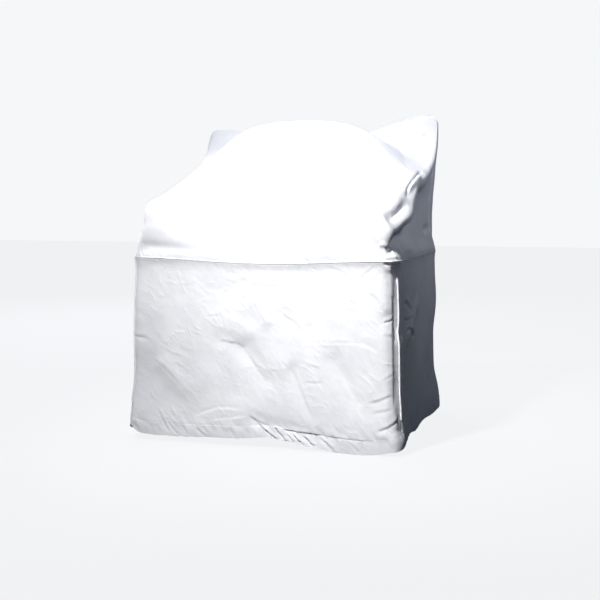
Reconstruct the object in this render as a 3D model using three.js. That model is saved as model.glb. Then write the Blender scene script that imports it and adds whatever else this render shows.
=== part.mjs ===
// A fitted cloth cover for the centre console of a boat, in the shape in which it hangs on the hidden
// console. Millimetres. +Z is up, +Y runs from the front of the cover to its back, +X is to the right
// seen from the front. The tables are measured from the middle of the front ledge seam, at floor level.
// The whole cover is then moved so that the origin lies just under the top of the arch, where the console
// holds it up.
import * as THREE from 'three';

// Driving sizes.
const CLOTH_THICKNESS = 2;
const HEM_THICKNESS = 3;
const HEM_WIDTH = 42;
const LEDGE_HEIGHT = 600;
const LEDGE_HALF_WIDTH = 462;
const LEDGE_DEPTH = 742;
const LEDGE_SAG = 14;
const LEDGE_SHIFT = -5;
const FULL_WALL_HEIGHT = 160;
const FOOT_LIFT = 56;
const WELT_RADIUS = 3;
const WELT_CLEARANCE = 0.85;
const WELT_SIDES = 6;
const CORNER_WELT_FOOT = 88;
const SEAM_GAP = 0.84;
const MOUNT_CLEARANCE = 3;
const LEVEL_EDGE = 12;
const WELT_STAND_OUT = CLOTH_THICKNESS / 2 + WELT_CLEARANCE + WELT_RADIUS;
const HOOD_FOOT = LEDGE_HEIGHT + SEAM_GAP / 2;

// The skirt from its hem to the ledge seam. Each level is the ledge outline, let out to these sizes.
const SKIRT_LEVELS = [
  { name: 'hem', height: 0, halfWidth: 484, front: -19, back: 757 },
  { name: 'hem stitch', height: HEM_WIDTH, halfWidth: 482, front: -17, back: 755 },
  { name: 'low', height: 150, halfWidth: 476, front: -10, back: 748 },
  { name: 'middle', height: 290, halfWidth: 471, front: -3, back: 742 },
  { name: 'high', height: 430, halfWidth: 467, front: 2, back: 738 },
  { name: 'under seam', height: 560, halfWidth: 461, front: 5, back: 737 },
  { name: 'seam', height: LEDGE_HEIGHT, halfWidth: LEDGE_HALF_WIDTH, front: 0, back: LEDGE_DEPTH },
];
const SKIRT_ROWS = [
  0, 21, HEM_WIDTH, HEM_WIDTH + 4, 88, 132, 178, 226, 276, 326, 376, 426, 472, 516, 556, 582,
];

// The sides of the hood, from the front ledge seam over the crown to the back ledge seam: the edge of the
// crown, the foot of the side wall, and the place where the station meets the side ledge.
const HOOD_SIDES = [
  { name: 'front seam', edgeX: 428, edgeY: 0, edgeZ: HOOD_FOOT, footX: 428, ledgeY: 40 },
  { name: 'lip', edgeX: 439, edgeY: -2, edgeZ: 646, footX: 435, ledgeY: 62 },
  { name: 'rise', edgeX: 421, edgeY: -4, edgeZ: 712, footX: 418, ledgeY: 90 },
  { name: 'shoulder', edgeX: 419, edgeY: 14, edgeZ: 780, footX: 415, ledgeY: 140 },
  { name: 'screen foot', edgeX: 421, edgeY: 134, edgeZ: 810, footX: 416, ledgeY: 215 },
  { name: 'screen', edgeX: 425, edgeY: 268, edgeZ: 845, footX: 420, ledgeY: 315 },
  { name: 'screen head', edgeX: 430, edgeY: 410, edgeZ: 882, footX: 426, ledgeY: 425 },
  { name: 'arch', edgeX: 435, edgeY: 530, edgeZ: 918, footX: 430, ledgeY: 520 },
  { name: 'behind arch', edgeX: 441, edgeY: 625, edgeZ: 964, footX: 434, ledgeY: 600 },
  { name: 'ear front', edgeX: 449, edgeY: 700, edgeZ: 1046, footX: 438, ledgeY: 655 },
  { name: 'ear', edgeX: 453, edgeY: 748, edgeZ: 1072, footX: 440, ledgeY: 672 },
  { name: 'ear back', edgeX: 457, edgeY: 757, edgeZ: 1026, footX: 440, ledgeY: 680 },
  { name: 'back', edgeX: 440, edgeY: 752, edgeZ: 850, footX: 440, ledgeY: 686 },
  { name: 'back lip', edgeX: 438, edgeY: 746, edgeZ: 680, footX: 442, ledgeY: 692 },
  { name: 'back seam', edgeX: 428, edgeY: 742, edgeZ: HOOD_FOOT, footX: 428, ledgeY: 702 },
];

// The middle of the hood at the same stations, and how full its arch is there. A fuller arch is flatter in
// the middle and steeper at its sides.
const HOOD_MIDDLE = [
  { name: 'front seam', midY: 0, midZ: HOOD_FOOT, full: 1.2 },
  { name: 'lip', midY: 2, midZ: 642, full: 1.2 },
  { name: 'rise', midY: 45, midZ: 706, full: 1.3 },
  { name: 'shoulder', midY: 112, midZ: 774, full: 1.5 },
  { name: 'screen foot', midY: 205, midZ: 852, full: 1.7 },
  { name: 'screen', midY: 300, midZ: 932, full: 1.9 },
  { name: 'screen head', midY: 405, midZ: 1018, full: 2.1 },
  { name: 'arch', midY: 492, midZ: 1080, full: 2.15 },
  { name: 'behind arch', midY: 585, midZ: 1062, full: 1.8 },
  { name: 'ear front', midY: 690, midZ: 1036, full: 1.4 },
  { name: 'ear', midY: 740, midZ: 1016, full: 1.1 },
  { name: 'ear back', midY: 752, midZ: 985, full: 1 },
  { name: 'back', midY: 752, midZ: 850, full: 1 },
  { name: 'back lip', midY: 748, midZ: 680, full: 1 },
  { name: 'back seam', midY: 742, midZ: HOOD_FOOT, full: 1 },
];

// The cloth of the crown is pulled over to the right. There it rolls over the side and hangs down as a soft
// fold with a lobe at its front: how far its edge lies further in, further back and higher than on the left,
// how far it drops, how far the fold bulges out and its lower edge flares out, and how far it is tucked in.
const RIGHT_FOLD = [
  { name: 'front seam', inset: 0, back: 0, lift: 0, drop: 46, bulge: 0, flare: -3, tuck: 0 },
  { name: 'lip', inset: 30, back: 0, lift: 0, drop: 46, bulge: 0, flare: -3, tuck: 0 },
  { name: 'rise', inset: -4, back: 0, lift: -8, drop: 22, bulge: 14, flare: 16, tuck: 28 },
  { name: 'shoulder', inset: 20, back: 0, lift: -30, drop: 60, bulge: 24, flare: 54, tuck: 26 },
  { name: 'screen foot', inset: 36, back: 0, lift: -38, drop: 54, bulge: 40, flare: 78, tuck: 30 },
  { name: 'screen', inset: 16, back: 0, lift: -26, drop: 86, bulge: 26, flare: 54, tuck: 32 },
  { name: 'screen head', inset: -8, back: 6, lift: -8, drop: 50, bulge: 10, flare: 2, tuck: 24 },
  { name: 'arch', inset: -6, back: 16, lift: -28, drop: 50, bulge: 9, flare: 2, tuck: 20 },
  { name: 'behind arch', inset: -5, back: 30, lift: -34, drop: 46, bulge: 7, flare: 2, tuck: 14 },
  { name: 'ear front', inset: 0, back: 14, lift: -48, drop: 46, bulge: 8, flare: 5, tuck: 8 },
  { name: 'ear', inset: 22, back: 0, lift: 38, drop: 40, bulge: 27, flare: 23, tuck: 6 },
  { name: 'ear back', inset: 14, back: 12, lift: 16, drop: 46, bulge: 12, flare: 8, tuck: 0 },
  { name: 'back', inset: 0, back: 5, lift: 0, drop: 46, bulge: 0, flare: -3, tuck: 0 },
  { name: 'back lip', inset: 0, back: 0, lift: 0, drop: 46, bulge: 0, flare: -3, tuck: 0 },
  { name: 'back seam', inset: 0, back: 0, lift: 0, drop: 46, bulge: 0, flare: -3, tuck: 0 },
];
const LEFT_DROP = 46;
const LEFT_TURN_IN = 3;

// Soft folds. Each is a ridge (rise above 0) or a trough (rise below 0) along a line between two places.
const FOLDS = [
  { name: 'long diagonal, upper part', from: [-150, 0, 334], to: [-62, 0, 305], reach: 30, rise: -3 },
  { name: 'long diagonal, lower part', from: [-62, 0, 300], to: [10, 0, 200], reach: 34, rise: -4 },
  { name: 'ridge above the long diagonal', from: [-30, 0, 350], to: [70, 0, 240], reach: 36, rise: 4 },
  { name: 'upper diagonal', from: [-50, 0, 492], to: [15, 0, 398], reach: 26, rise: 3 },
  { name: 'pull under the ledge', from: [-66, 0, 521], to: [55, 0, 515], reach: 22, rise: -2 },
  { name: 'second upper diagonal', from: [65, 0, 428], to: [158, 0, 370], reach: 28, rise: -3 },
  { name: 'middle droop', from: [110, 0, 235], to: [180, 0, 85], reach: 30, rise: -4 },
  { name: 'right diagonal', from: [255, 0, 275], to: [330, 0, 140], reach: 30, rise: -4 },
  { name: 'left diagonal', from: [-352, 0, 238], to: [-280, 0, 160], reach: 30, rise: 4 },
  { name: 'left hollow', from: [-430, 0, 190], to: [-300, 0, 80], reach: 90, rise: -9 },
  { name: 'gathered hem', from: [-10, -10, 60], to: [190, -10, 20], reach: 30, rise: -5 },
  { name: 'right corner tuck', from: [424, 0, 413], to: [458, 18, 372], reach: 26, rise: -6 },
  { name: 'wide turn at the right corner', from: [460, 21, 556], to: [481, 1, 60], reach: 30, rise: -16 },
  { name: 'start of the wide turn', from: [431, 5, 556], to: [450, -16, 60], reach: 17, rise: -6 },
  { name: 'side hollow', from: [460, 300, 420], to: [460, 520, 120], reach: 60, rise: -10 },
  { name: 'side ridge', from: [464, 95, 335], to: [458, 330, 430], reach: 30, rise: 9 },
  { name: 'back waist on the side', from: [466, 730, 290], to: [466, 730, 170], reach: 80, rise: -14 },
  { name: 'left side hollow', from: [-465, 250, 450], to: [-465, 450, 120], reach: 70, rise: -9 },
  { name: 'back hollow', from: [-160, 742, 480], to: [60, 742, 120], reach: 64, rise: -8 },
  { name: 'back ridge', from: [180, 742, 540], to: [260, 742, 200], reach: 54, rise: 7 },
  { name: 'groove down from the ear', from: [434, 540, 893], to: [427, 300, 808], reach: 13, rise: -5 },
  { name: 'hollow over the lobe', from: [417, 60, 733], to: [429, 264, 780], reach: 20, rise: -6 },
  { name: 'crease beside the arch', from: [290, 385, 945], to: [374, 212, 802], reach: 26, rise: -4 },
  { name: 'crease where the arch ends', from: [281, 570, 1010], to: [335, 640, 982], reach: 22, rise: -5 },
  { name: 'hollow in front of the ear', from: [338, 645, 977], to: [384, 500, 925], reach: 22, rise: -4 },
  { name: 'side wall under the ear', from: [440, 680, 800], to: [440, 690, 745], reach: 40, rise: -10 },
  { name: 'notch over the side ledge', from: [438, 660, 686], to: [438, 600, 684], reach: 15, rise: -9 },
  { name: 'roll at the left', from: [-356, 10, 752], to: [-212, 313, 928], reach: 30, rise: -6 },
  { name: 'roll at the left head', from: [-212, 313, 928], to: [-108, 455, 1056], reach: 28, rise: -5 },
  { name: 'dip over the ledge', from: [-415, -3, 636], to: [-30, 0, 631], reach: 18, rise: -5 },
];

// Where the hem rides up from the floor or sinks onto it.
const HEM_RISES = [
  { name: 'front left corner', x: -484, y: -12, reach: 30, rise: 26 },
  { name: 'front left', x: -330, y: -19, reach: 150, rise: -8 },
  { name: 'front middle', x: 35, y: -19, reach: 75, rise: 12 },
  { name: 'front right', x: 320, y: -24, reach: 175, rise: -28 },
  { name: 'front right corner', x: 484, y: 100, reach: 80, rise: 28 },
  { name: 'right side', x: 484, y: 330, reach: 170, rise: 22 },
  { name: 'left side', x: -484, y: 380, reach: 220, rise: 14 },
  { name: 'back', x: -60, y: 757, reach: 260, rise: 16 },
];

// Cross section of the hood, from the left ledge over the crown to the right ledge: how far across the
// crown each control point lies, and how many control points a side wall has.
const CROWN_SHARES = [-0.92, -0.76, -0.54, -0.27, 0, 0.27, 0.54, 0.76, 0.92];
const WALL_POINTS = 8;
const CONTROL_COUNT = 2 * WALL_POINTS + CROWN_SHARES.length;
const FAR_SIDE = CONTROL_COUNT - 1;
const MIDDLE = FAR_SIDE / 2;
const FAR_STATION = HOOD_SIDES.length - 1;

// Where the panels meet: places across the hood, its last station before the back, and places across the
// ledge for the seams of the skirt.
const LEFT_HOOD_SEAM = WALL_POINTS - 1;
const RIGHT_HOOD_SEAM = FAR_SIDE - WALL_POINTS + 3.5;
const BACK_HOOD_SEAM = HOOD_SIDES.findIndex((row) => row.name === 'ear');
const LEFT_SKIRT_SEAM = 2.4;
const RIGHT_SKIRT_SEAM = FAR_SIDE - 0.6;
const MOUNT_STATION = HOOD_SIDES.findIndex((row) => row.name === 'arch');

// The cloth and the welts.
const MATERIALS = {
  front: { color: 0xf4f5f8, roughness: 0.62, metalness: 0 },
  side: { color: 0xeff0f4, roughness: 0.62, metalness: 0 },
  welt: { color: 0xf8f9fb, roughness: 0.55, metalness: 0 },
};

const mix = THREE.MathUtils.lerp;
const clamp = THREE.MathUtils.clamp;
const STEP = 0.01;

// The value of one column of a table at a place between its rows, on a smooth curve through all of them.
function column(table, name, place) {
  const index = clamp(Math.floor(place), 0, table.length - 2);
  const value = (row) => table[clamp(row, 0, table.length - 1)][name];
  const [a, b, c, d] = [value(index - 1), value(index), value(index + 1), value(index + 2)];
  const t = place - index;
  const t2 = t * t;
  const t3 = t2 * t;
  const bend = (t3 - 2 * t2 + t) * (c - a) / 2 + (t3 - t2) * (d - b) / 2;
  return (2 * t3 - 3 * t2 + 1) * b + (3 * t2 - 2 * t3) * c + bend;
}

// A point of the uniform cubic B-spline over a row of control points: cloth turns softly over every edge.
function softLine(points, place) {
  const last = points.length - 1;
  const index = clamp(Math.floor(place), 0, last - 1);
  const at = (i) => {
    if (i < 0) return points[0].clone().multiplyScalar(2).sub(points[1]);
    if (i > last) return points[last].clone().multiplyScalar(2).sub(points[last - 1]);
    return points[i];
  };
  const t = place - index;
  const rising = 3 * (t - t * t) * t + 3 * t + 1;
  const weights = [(1 - t) ** 3, 3 * t ** 3 - 6 * t ** 2 + 4, rising, t ** 3];
  const sum = new THREE.Vector3();
  weights.forEach((weight, i) => sum.addScaledVector(at(index - 1 + i), weight / 6));
  return sum;
}

// The share of the arch's height that the cloth keeps at a share of the way out from the middle.
function archShare(share, full) {
  return 0.5 + 0.5 * Math.cos(Math.PI * Math.abs(share) ** full);
}

// One side of a hood section: control points from the edge of the crown down to the ledge. Near the front
// and back seams the wall has no height, and its points run round the corner of the ledge.
function wallPoints(station, side) {
  const get = (name) => column(HOOD_SIDES, name, station);
  const fold = (name) => (side > 0 ? column(RIGHT_FOLD, name, station) : 0);
  const edge = new THREE.Vector3(
    get('edgeX') - fold('inset'), get('edgeY') + fold('back'), get('edgeZ') + fold('lift'));
  const ledge = new THREE.Vector3(LEDGE_HALF_WIDTH + side * LEDGE_SHIFT, get('ledgeY'), HOOD_FOOT);
  const height = Math.max(edge.z - HOOD_FOOT, 1);
  const grown = THREE.MathUtils.smoothstep(height, 0, FULL_WALL_HEIGHT);
  const drop = side > 0 ? fold('drop') : LEFT_DROP;
  const flare = side > 0 ? fold('flare') : -LEFT_TURN_IN;
  const foot = Math.min(FOOT_LIFT, height * 0.4);
  const tuckZ = Math.max(edge.z - drop - 30, HOOD_FOOT + foot + 0.25 * (height - foot - drop));
  const profile = [
    [edge.x, edge.z],
    [edge.x + fold('bulge'), edge.z - drop * 0.5],
    [edge.x + flare, edge.z - drop],
    [mix(get('edgeX'), get('footX'), 0.6) - fold('tuck'), tuckZ],
    [get('footX'), HOOD_FOOT + foot],
    [mix(get('footX'), ledge.x, 0.8), HOOD_FOOT + foot * 0.45],
    [ledge.x, HOOD_FOOT + foot * 0.2],
    [ledge.x, HOOD_FOOT],
  ];
  return profile.map(([x, z], i) => {
    const angle = (i / (WALL_POINTS - 1)) * (Math.PI / 2);
    const down = clamp((edge.z - z) / height, 0, 1);
    const wall = new THREE.Vector3(x, mix(edge.y, ledge.y, down), z);
    const corner = new THREE.Vector3(
      mix(edge.x, ledge.x, Math.sin(angle)),
      mix(ledge.y, edge.y, Math.cos(angle)),
      mix(edge.z, ledge.z, angle / (Math.PI / 2)),
    );
    const point = corner.lerp(wall, grown);
    point.x *= side;
    return point;
  });
}

// The hood before any fold, at a place across it and a station along it.
function smoothHood(across, station) {
  const left = wallPoints(station, -1);
  const right = wallPoints(station, 1);
  const middleY = column(HOOD_MIDDLE, 'midY', station);
  const middleZ = column(HOOD_MIDDLE, 'midZ', station);
  const full = column(HOOD_MIDDLE, 'full', station);
  const crown = CROWN_SHARES.map((share) => {
    const edge = share < 0 ? left[0] : right[0];
    const arch = archShare(share, full);
    const x = Math.abs(share) * edge.x;
    return new THREE.Vector3(x, mix(edge.y, middleY, arch), mix(edge.z, middleZ, arch));
  });
  return softLine([...left.reverse(), ...crown, ...right], across);
}

const FRONT_PARTS = 240;
const SIDE_PARTS = 60;

// The line of the ledge seam, as points with their distance round it. It starts at the front's left end.
function ledgeLine() {
  const line = [];
  const add = (across, station) => {
    const point = smoothHood(across, station);
    const before = line[line.length - 1];
    const length = before ? before.length + Math.hypot(point.x - before.x, point.y - before.y) : 0;
    line.push({ x: point.x, y: point.y, length });
  };
  for (let i = 0; i < FRONT_PARTS; i += 1) add((FAR_SIDE * i) / FRONT_PARTS, 0);
  for (let i = 0; i < SIDE_PARTS; i += 1) add(FAR_SIDE, (FAR_STATION * i) / SIDE_PARTS);
  for (let i = 0; i < FRONT_PARTS; i += 1) add(FAR_SIDE * (1 - i / FRONT_PARTS), FAR_STATION);
  for (let i = 0; i <= SIDE_PARTS; i += 1) add(0, FAR_STATION * (1 - i / SIDE_PARTS));
  return line;
}
const LEDGE_LINE = ledgeLine();
const LEDGE_LENGTH = LEDGE_LINE[LEDGE_LINE.length - 1].length;

// A place on the ledge line at a distance round it.
function onLedge(distance) {
  const along = THREE.MathUtils.euclideanModulo(distance, LEDGE_LENGTH);
  const next = Math.max(LEDGE_LINE.findIndex((point) => point.length >= along), 1);
  const [a, b] = [LEDGE_LINE[next - 1], LEDGE_LINE[next]];
  const t = (along - a.length) / Math.max(b.length - a.length, 1e-9);
  return { x: mix(a.x, b.x, t), y: mix(a.y, b.y, t) };
}

// The distance round the ledge at a place across the front seam or the back seam.
function ledgeDistance(across, atBack) {
  const part = Math.round((across / FAR_SIDE) * FRONT_PARTS);
  return LEDGE_LINE[atBack ? 2 * FRONT_PARTS + SIDE_PARTS - part : part].length;
}

// The skirt before any fold, at a distance round it and a height over the floor.
function smoothSkirt(distance, height) {
  const place = onLedge(distance);
  const above = Math.max(SKIRT_LEVELS.findIndex((level) => level.height >= height), 1);
  const [low, high] = [SKIRT_LEVELS[above - 1], SKIRT_LEVELS[above]];
  const level = above - 1 + (height - low.height) / (high.height - low.height);
  const out = column(SKIRT_LEVELS, 'halfWidth', level) / LEDGE_HALF_WIDTH;
  const x = LEDGE_SHIFT + (place.x - LEDGE_SHIFT) * out;
  const share = place.y / LEDGE_DEPTH;
  const y = mix(column(SKIRT_LEVELS, 'front', level), column(SKIRT_LEVELS, 'back', level), share);
  const hem = HEM_RISES.reduce((sum, row) => {
    return sum + row.rise * Math.exp(-(((x - row.x) ** 2 + (y - row.y) ** 2) / row.reach ** 2));
  }, 0);
  const hemShare = (1 - height / LEDGE_HEIGHT) ** 3;
  return new THREE.Vector3(x, y, height + hem * hemShare);
}

// How far the cloth is pushed out at a point, by all the soft folds together.
function foldRise(point) {
  return FOLDS.reduce((sum, fold) => {
    const line = new THREE.Line3(new THREE.Vector3(...fold.from), new THREE.Vector3(...fold.to));
    const near = line.closestPointToPoint(point, true, new THREE.Vector3());
    return sum + fold.rise * Math.exp(-near.distanceToSquared(point) / fold.reach ** 2);
  }, 0);
}

// The front of the ledge sags a little between its corners.
function ledgeSag(point) {
  const across = Math.cos((Math.PI / 2) * clamp(point.x / LEDGE_HALF_WIDTH, -1, 1)) ** 2;
  const near = Math.exp(-(((point.z - LEDGE_HEIGHT) / 90) ** 2)) * clamp(1 - point.y / 140, 0, 1);
  return -LEDGE_SAG * across * near;
}

// The outward normal of a surface at a place on it. At the ledge seam it is level, so that the edges there
// face each other squarely.
function outward(surface, u, v, limits) {
  const a = clamp(u, limits.uMin, limits.uMax);
  const b = clamp(v, limits.vMin, limits.vMax);
  const du = surface(a + limits.uStep, b).sub(surface(a - limits.uStep, b));
  const dv = surface(a, b + limits.vStep).sub(surface(a, b - limits.vStep));
  const normal = du.cross(dv).normalize();
  normal.z *= clamp(Math.abs(surface(u, v).z - LEDGE_HEIGHT) / LEVEL_EDGE, 0, 1);
  return normal.normalize();
}

// Where a normal can be taken on each surface, and the steps it is taken with.
const HOOD_LIMITS = {
  uMin: 0.06, uMax: FAR_SIDE - 0.06, uStep: 0.03, vMin: 0.06, vMax: FAR_STATION - 0.06, vStep: 0.03,
};
const SKIRT_LIMITS = { uMin: -1e6, uMax: 1e6, uStep: 2, vMin: 1, vMax: LEDGE_HEIGHT - 4, vStep: 1 };

// A surface with its folds: each point moves out along the smooth surface's normal, and the front of the
// ledge sags.
function folded(surface, limits) {
  return (u, v) => {
    const point = surface(u, v);
    const rise = foldRise(point);
    const moved = point.clone().addScaledVector(outward(surface, u, v, limits), rise);
    moved.z += ledgeSag(point);
    return moved;
  };
}
const hood = folded(smoothHood, HOOD_LIMITS);
const skirt = folded(smoothSkirt, SKIRT_LIMITS);

// The origin: just under the cloth, at the top of the arch.
const ORIGIN = hood(MIDDLE, MOUNT_STATION);
ORIGIN.z -= CLOTH_THICKNESS / 2 + MOUNT_CLEARANCE;
ORIGIN.x = 0;

// A named mesh from a closed set of faces, moved to the origin, with its faces turned outwards.
function closedMesh(name, points, faces, look) {
  const corner = ([a, b, c]) => points[a].dot(points[b].clone().cross(points[c]));
  const volume = faces.reduce((sum, face) => sum + corner(face), 0);
  const index = faces.flatMap(([a, b, c]) => (volume > 0 ? [a, b, c] : [a, c, b]));
  const geometry = new THREE.BufferGeometry();
  const numbers = points.flatMap((point) => point.clone().sub(ORIGIN).toArray());
  geometry.setAttribute('position', new THREE.Float32BufferAttribute(numbers, 3));
  geometry.setIndex(index);
  geometry.computeVertexNormals();
  const mesh = new THREE.Mesh(geometry, new THREE.MeshStandardMaterial(look));
  mesh.name = name;
  return mesh;
}

// The two triangles of a four-sided face, split across its shorter diagonal.
function split(points, a, b, c, d) {
  const straight = points[a].distanceToSquared(points[c]) <= points[b].distanceToSquared(points[d]);
  return straight ? [[a, b, c], [a, c, d]] : [[a, b, d], [b, c, d]];
}

// A sheet of cloth. The grid has a list of places for each row of the sheet. A place is [u, v, thickness].
function sheet(name, surface, limits, grid, look) {
  const rows = grid.length;
  const columns = grid[0].length;
  const outerPoints = [];
  const innerPoints = [];
  grid.flat().forEach(([u, v, thickness]) => {
    const base = surface(u, v);
    const out = outward(surface, u, v, limits);
    outerPoints.push(base.clone().addScaledVector(out, CLOTH_THICKNESS / 2));
    innerPoints.push(base.addScaledVector(out, CLOTH_THICKNESS / 2 - thickness));
  });
  const points = [...outerPoints, ...innerPoints];
  const outer = (row, col) => row * columns + col;
  const inner = (row, col) => rows * columns + row * columns + col;
  const faces = [];
  const quad = (...corners) => faces.push(...split(points, ...corners));
  for (let row = 0; row < rows - 1; row += 1) {
    for (let col = 0; col < columns - 1; col += 1) {
      quad(outer(row, col), outer(row, col + 1), outer(row + 1, col + 1), outer(row + 1, col));
      quad(inner(row, col), inner(row + 1, col), inner(row + 1, col + 1), inner(row, col + 1));
    }
    quad(outer(row, 0), outer(row + 1, 0), inner(row + 1, 0), inner(row, 0));
    const end = columns - 1;
    quad(outer(row + 1, end), outer(row, end), inner(row, end), inner(row + 1, end));
  }
  const top = rows - 1;
  for (let col = 0; col < columns - 1; col += 1) {
    quad(outer(0, col + 1), outer(0, col), inner(0, col), inner(0, col + 1));
    quad(outer(top, col), outer(top, col + 1), inner(top, col + 1), inner(top, col));
  }
  return closedMesh(name, points, faces, look);
}

// Evenly spaced places from one to another, a number of steps to each whole one.
function steps(from, to, perOne) {
  const count = Math.max(Math.round(Math.abs(to - from) * perOne), 1);
  return Array.from({ length: count + 1 }, (_, i) => mix(from, to, i / count));
}

// The place a length of cloth in from an edge of the hood, square to that edge.
function trimmed(u, v, inU, inV) {
  const du = hood(u + STEP, v).sub(hood(u - STEP, v)).divideScalar(2 * STEP);
  const dv = hood(u, v + STEP).sub(hood(u, v - STEP)).divideScalar(2 * STEP);
  const area = du.clone().cross(dv).length();
  return [u + (inU ? inU * dv.length() / area : 0), v + (inV ? inV * du.length() / area : 0)];
}

// A panel of the hood between two places across it and two stations. Seam edges stop half a gap short.
function hoodPanel(name, across, stations, seams, look) {
  const half = SEAM_GAP / 2;
  const grid = stations.map((v, row) => across.map((u, col) => {
    const atRight = col === across.length - 1;
    const atBack = row === stations.length - 1;
    const inU = (col === 0 && seams.left ? half : 0) - (atRight && seams.right ? half : 0);
    const inV = (row === 0 && seams.front ? half : 0) - (atBack && seams.back ? half : 0);
    return [...trimmed(u, v, inU, inV), CLOTH_THICKNESS];
  }));
  return sheet(name, hood, HOOD_LIMITS, grid, look);
}

// Distances round the skirt from one seam to the next, closer together where the ledge turns a corner.
function roundPlaces(from, to, longest, sharpest) {
  const places = [from];
  const heading = (distance) => {
    const [a, b] = [onLedge(distance - 2), onLedge(distance + 2)];
    return Math.atan2(b.y - a.y, b.x - a.x);
  };
  const whole = 2 * Math.PI;
  const turn = (a, b) => {
    return Math.abs(THREE.MathUtils.euclideanModulo(heading(b) - heading(a) + Math.PI, whole) - Math.PI);
  };
  for (let distance = from + 4; distance < to - 6; distance += 1) {
    const before = places[places.length - 1];
    if (distance - before >= longest || turn(before, distance) >= sharpest) places.push(distance);
  }
  places.push(to);
  return places;
}

// A panel of the skirt between two seams. Its edges stop half a gap short of them.
function skirtPanel(name, from, to, spacing, look) {
  const half = SEAM_GAP / 2;
  const places = roundPlaces(from + half, to - half, spacing, 0.24);
  const rows = [...SKIRT_ROWS, LEDGE_HEIGHT - half];
  const grid = rows.map((height) => places.map((distance) => {
    return [distance, height, height <= HEM_WIDTH ? HEM_THICKNESS : CLOTH_THICKNESS];
  }));
  return sheet(name, skirt, SKIRT_LIMITS, grid, look);
}

// A round welt along a path of places. Each place is a centre and the outward direction there.
function welt(name, path, closed, look) {
  const count = path.length;
  const points = [];
  path.forEach(({ centre, out }, i) => {
    const before = path[closed ? (i + count - 1) % count : Math.max(i - 1, 0)].centre;
    const after = path[closed ? (i + 1) % count : Math.min(i + 1, count - 1)].centre;
    const along = after.clone().sub(before).normalize();
    const across = along.clone().cross(out).normalize();
    const up = across.clone().cross(along);
    for (let k = 0; k < WELT_SIDES; k += 1) {
      const angle = (2 * Math.PI * (k + 0.5)) / WELT_SIDES;
      const offset = across.clone().multiplyScalar(Math.cos(angle)).addScaledVector(up, Math.sin(angle));
      points.push(centre.clone().addScaledVector(offset, WELT_RADIUS));
    }
  });
  const at = (ring, k) => (ring % count) * WELT_SIDES + (k % WELT_SIDES);
  const faces = [];
  for (let ring = 0; ring < (closed ? count : count - 1); ring += 1) {
    for (let k = 0; k < WELT_SIDES; k += 1) {
      faces.push(...split(points, at(ring, k), at(ring, k + 1), at(ring + 1, k + 1), at(ring + 1, k)));
    }
  }
  if (!closed) {
    for (let k = 1; k < WELT_SIDES - 1; k += 1) {
      faces.push([at(0, 0), at(0, k + 1), at(0, k)]);
      faces.push([at(count - 1, 0), at(count - 1, k), at(count - 1, k + 1)]);
    }
  }
  return closedMesh(name, points, faces, look);
}

// The welt that runs all round the ledge, outside the seam of the skirt and the hood.
function ledgeWelt() {
  const path = roundPlaces(0, LEDGE_LENGTH, 45, 0.16).slice(0, -1).map((distance) => {
    const out = outward(smoothSkirt, distance, LEDGE_HEIGHT - 4, SKIRT_LIMITS).setZ(0).normalize();
    const centre = skirt(distance, LEDGE_HEIGHT).addScaledVector(out, WELT_STAND_OUT);
    return { centre, out };
  });
  return welt('ledge_welt', path, true, MATERIALS.welt);
}

// The welt down a front corner of the skirt.
function cornerWelt(name, distance) {
  const top = LEDGE_HEIGHT - 2 * WELT_RADIUS - WELT_CLEARANCE;
  const heights = SKIRT_ROWS.filter((height) => height >= CORNER_WELT_FOOT && height < top - 8);
  const path = [...heights, top].map((height) => {
    const out = outward(skirt, distance, height, SKIRT_LIMITS);
    return { centre: skirt(distance, height).addScaledVector(out, WELT_STAND_OUT), out };
  });
  return welt(name, path, false, MATERIALS.welt);
}

const frontLeft = ledgeDistance(LEFT_SKIRT_SEAM, false);
const frontRight = ledgeDistance(RIGHT_SKIRT_SEAM, false);
const backRight = ledgeDistance(RIGHT_SKIRT_SEAM, true);
const backLeft = ledgeDistance(LEFT_SKIRT_SEAM, true);

const crownAcross = steps(LEFT_HOOD_SEAM, RIGHT_HOOD_SEAM, 3);
const leftAcross = steps(0, LEFT_HOOD_SEAM, 2);
const rightAcross = steps(RIGHT_HOOD_SEAM, FAR_SIDE, 3);
const backAcross = [...steps(0, 16, 2), ...steps(16, 19, 3).slice(1), ...steps(19, FAR_SIDE, 2).slice(1)];
const hoodStations = steps(0, BACK_HOOD_SEAM, 3);
const backStations = steps(BACK_HOOD_SEAM, FAR_STATION, 1.5);
const crownSeams = { left: true, right: true, back: true };

const cover = new THREE.Group();
cover.name = 'console_cover';
cover.add(
  hoodPanel('crown', crownAcross, hoodStations, crownSeams, MATERIALS.front),
  hoodPanel('hood_left', leftAcross, hoodStations, { right: true, back: true }, MATERIALS.side),
  hoodPanel('hood_right', rightAcross, hoodStations, { left: true, back: true }, MATERIALS.side),
  hoodPanel('hood_back', backAcross, backStations, { front: true }, MATERIALS.side),
  skirtPanel('skirt_front', frontLeft, frontRight, 33, MATERIALS.front),
  skirtPanel('skirt_right', frontRight, backRight, 42, MATERIALS.side),
  skirtPanel('skirt_back', backRight, backLeft, 60, MATERIALS.side),
  skirtPanel('skirt_left', backLeft, frontLeft + LEDGE_LENGTH, 50, MATERIALS.side),
  ledgeWelt(),
  cornerWelt('corner_welt_right', frontRight),
  cornerWelt('corner_welt_left', frontLeft),
);
export default cover;
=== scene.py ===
"""A white fitted cover for a boat's centre console, sewn from coated polyester canvas.

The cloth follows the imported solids. It has the same sections and main folds, on a finer grid, with the
creases, crumples, puckers, welts and stitching that the solids leave out. The tables are in millimetres,
measured from the middle of the front ledge seam at floor level: x to the right, y to the back, z up.
"""

import math

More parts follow.
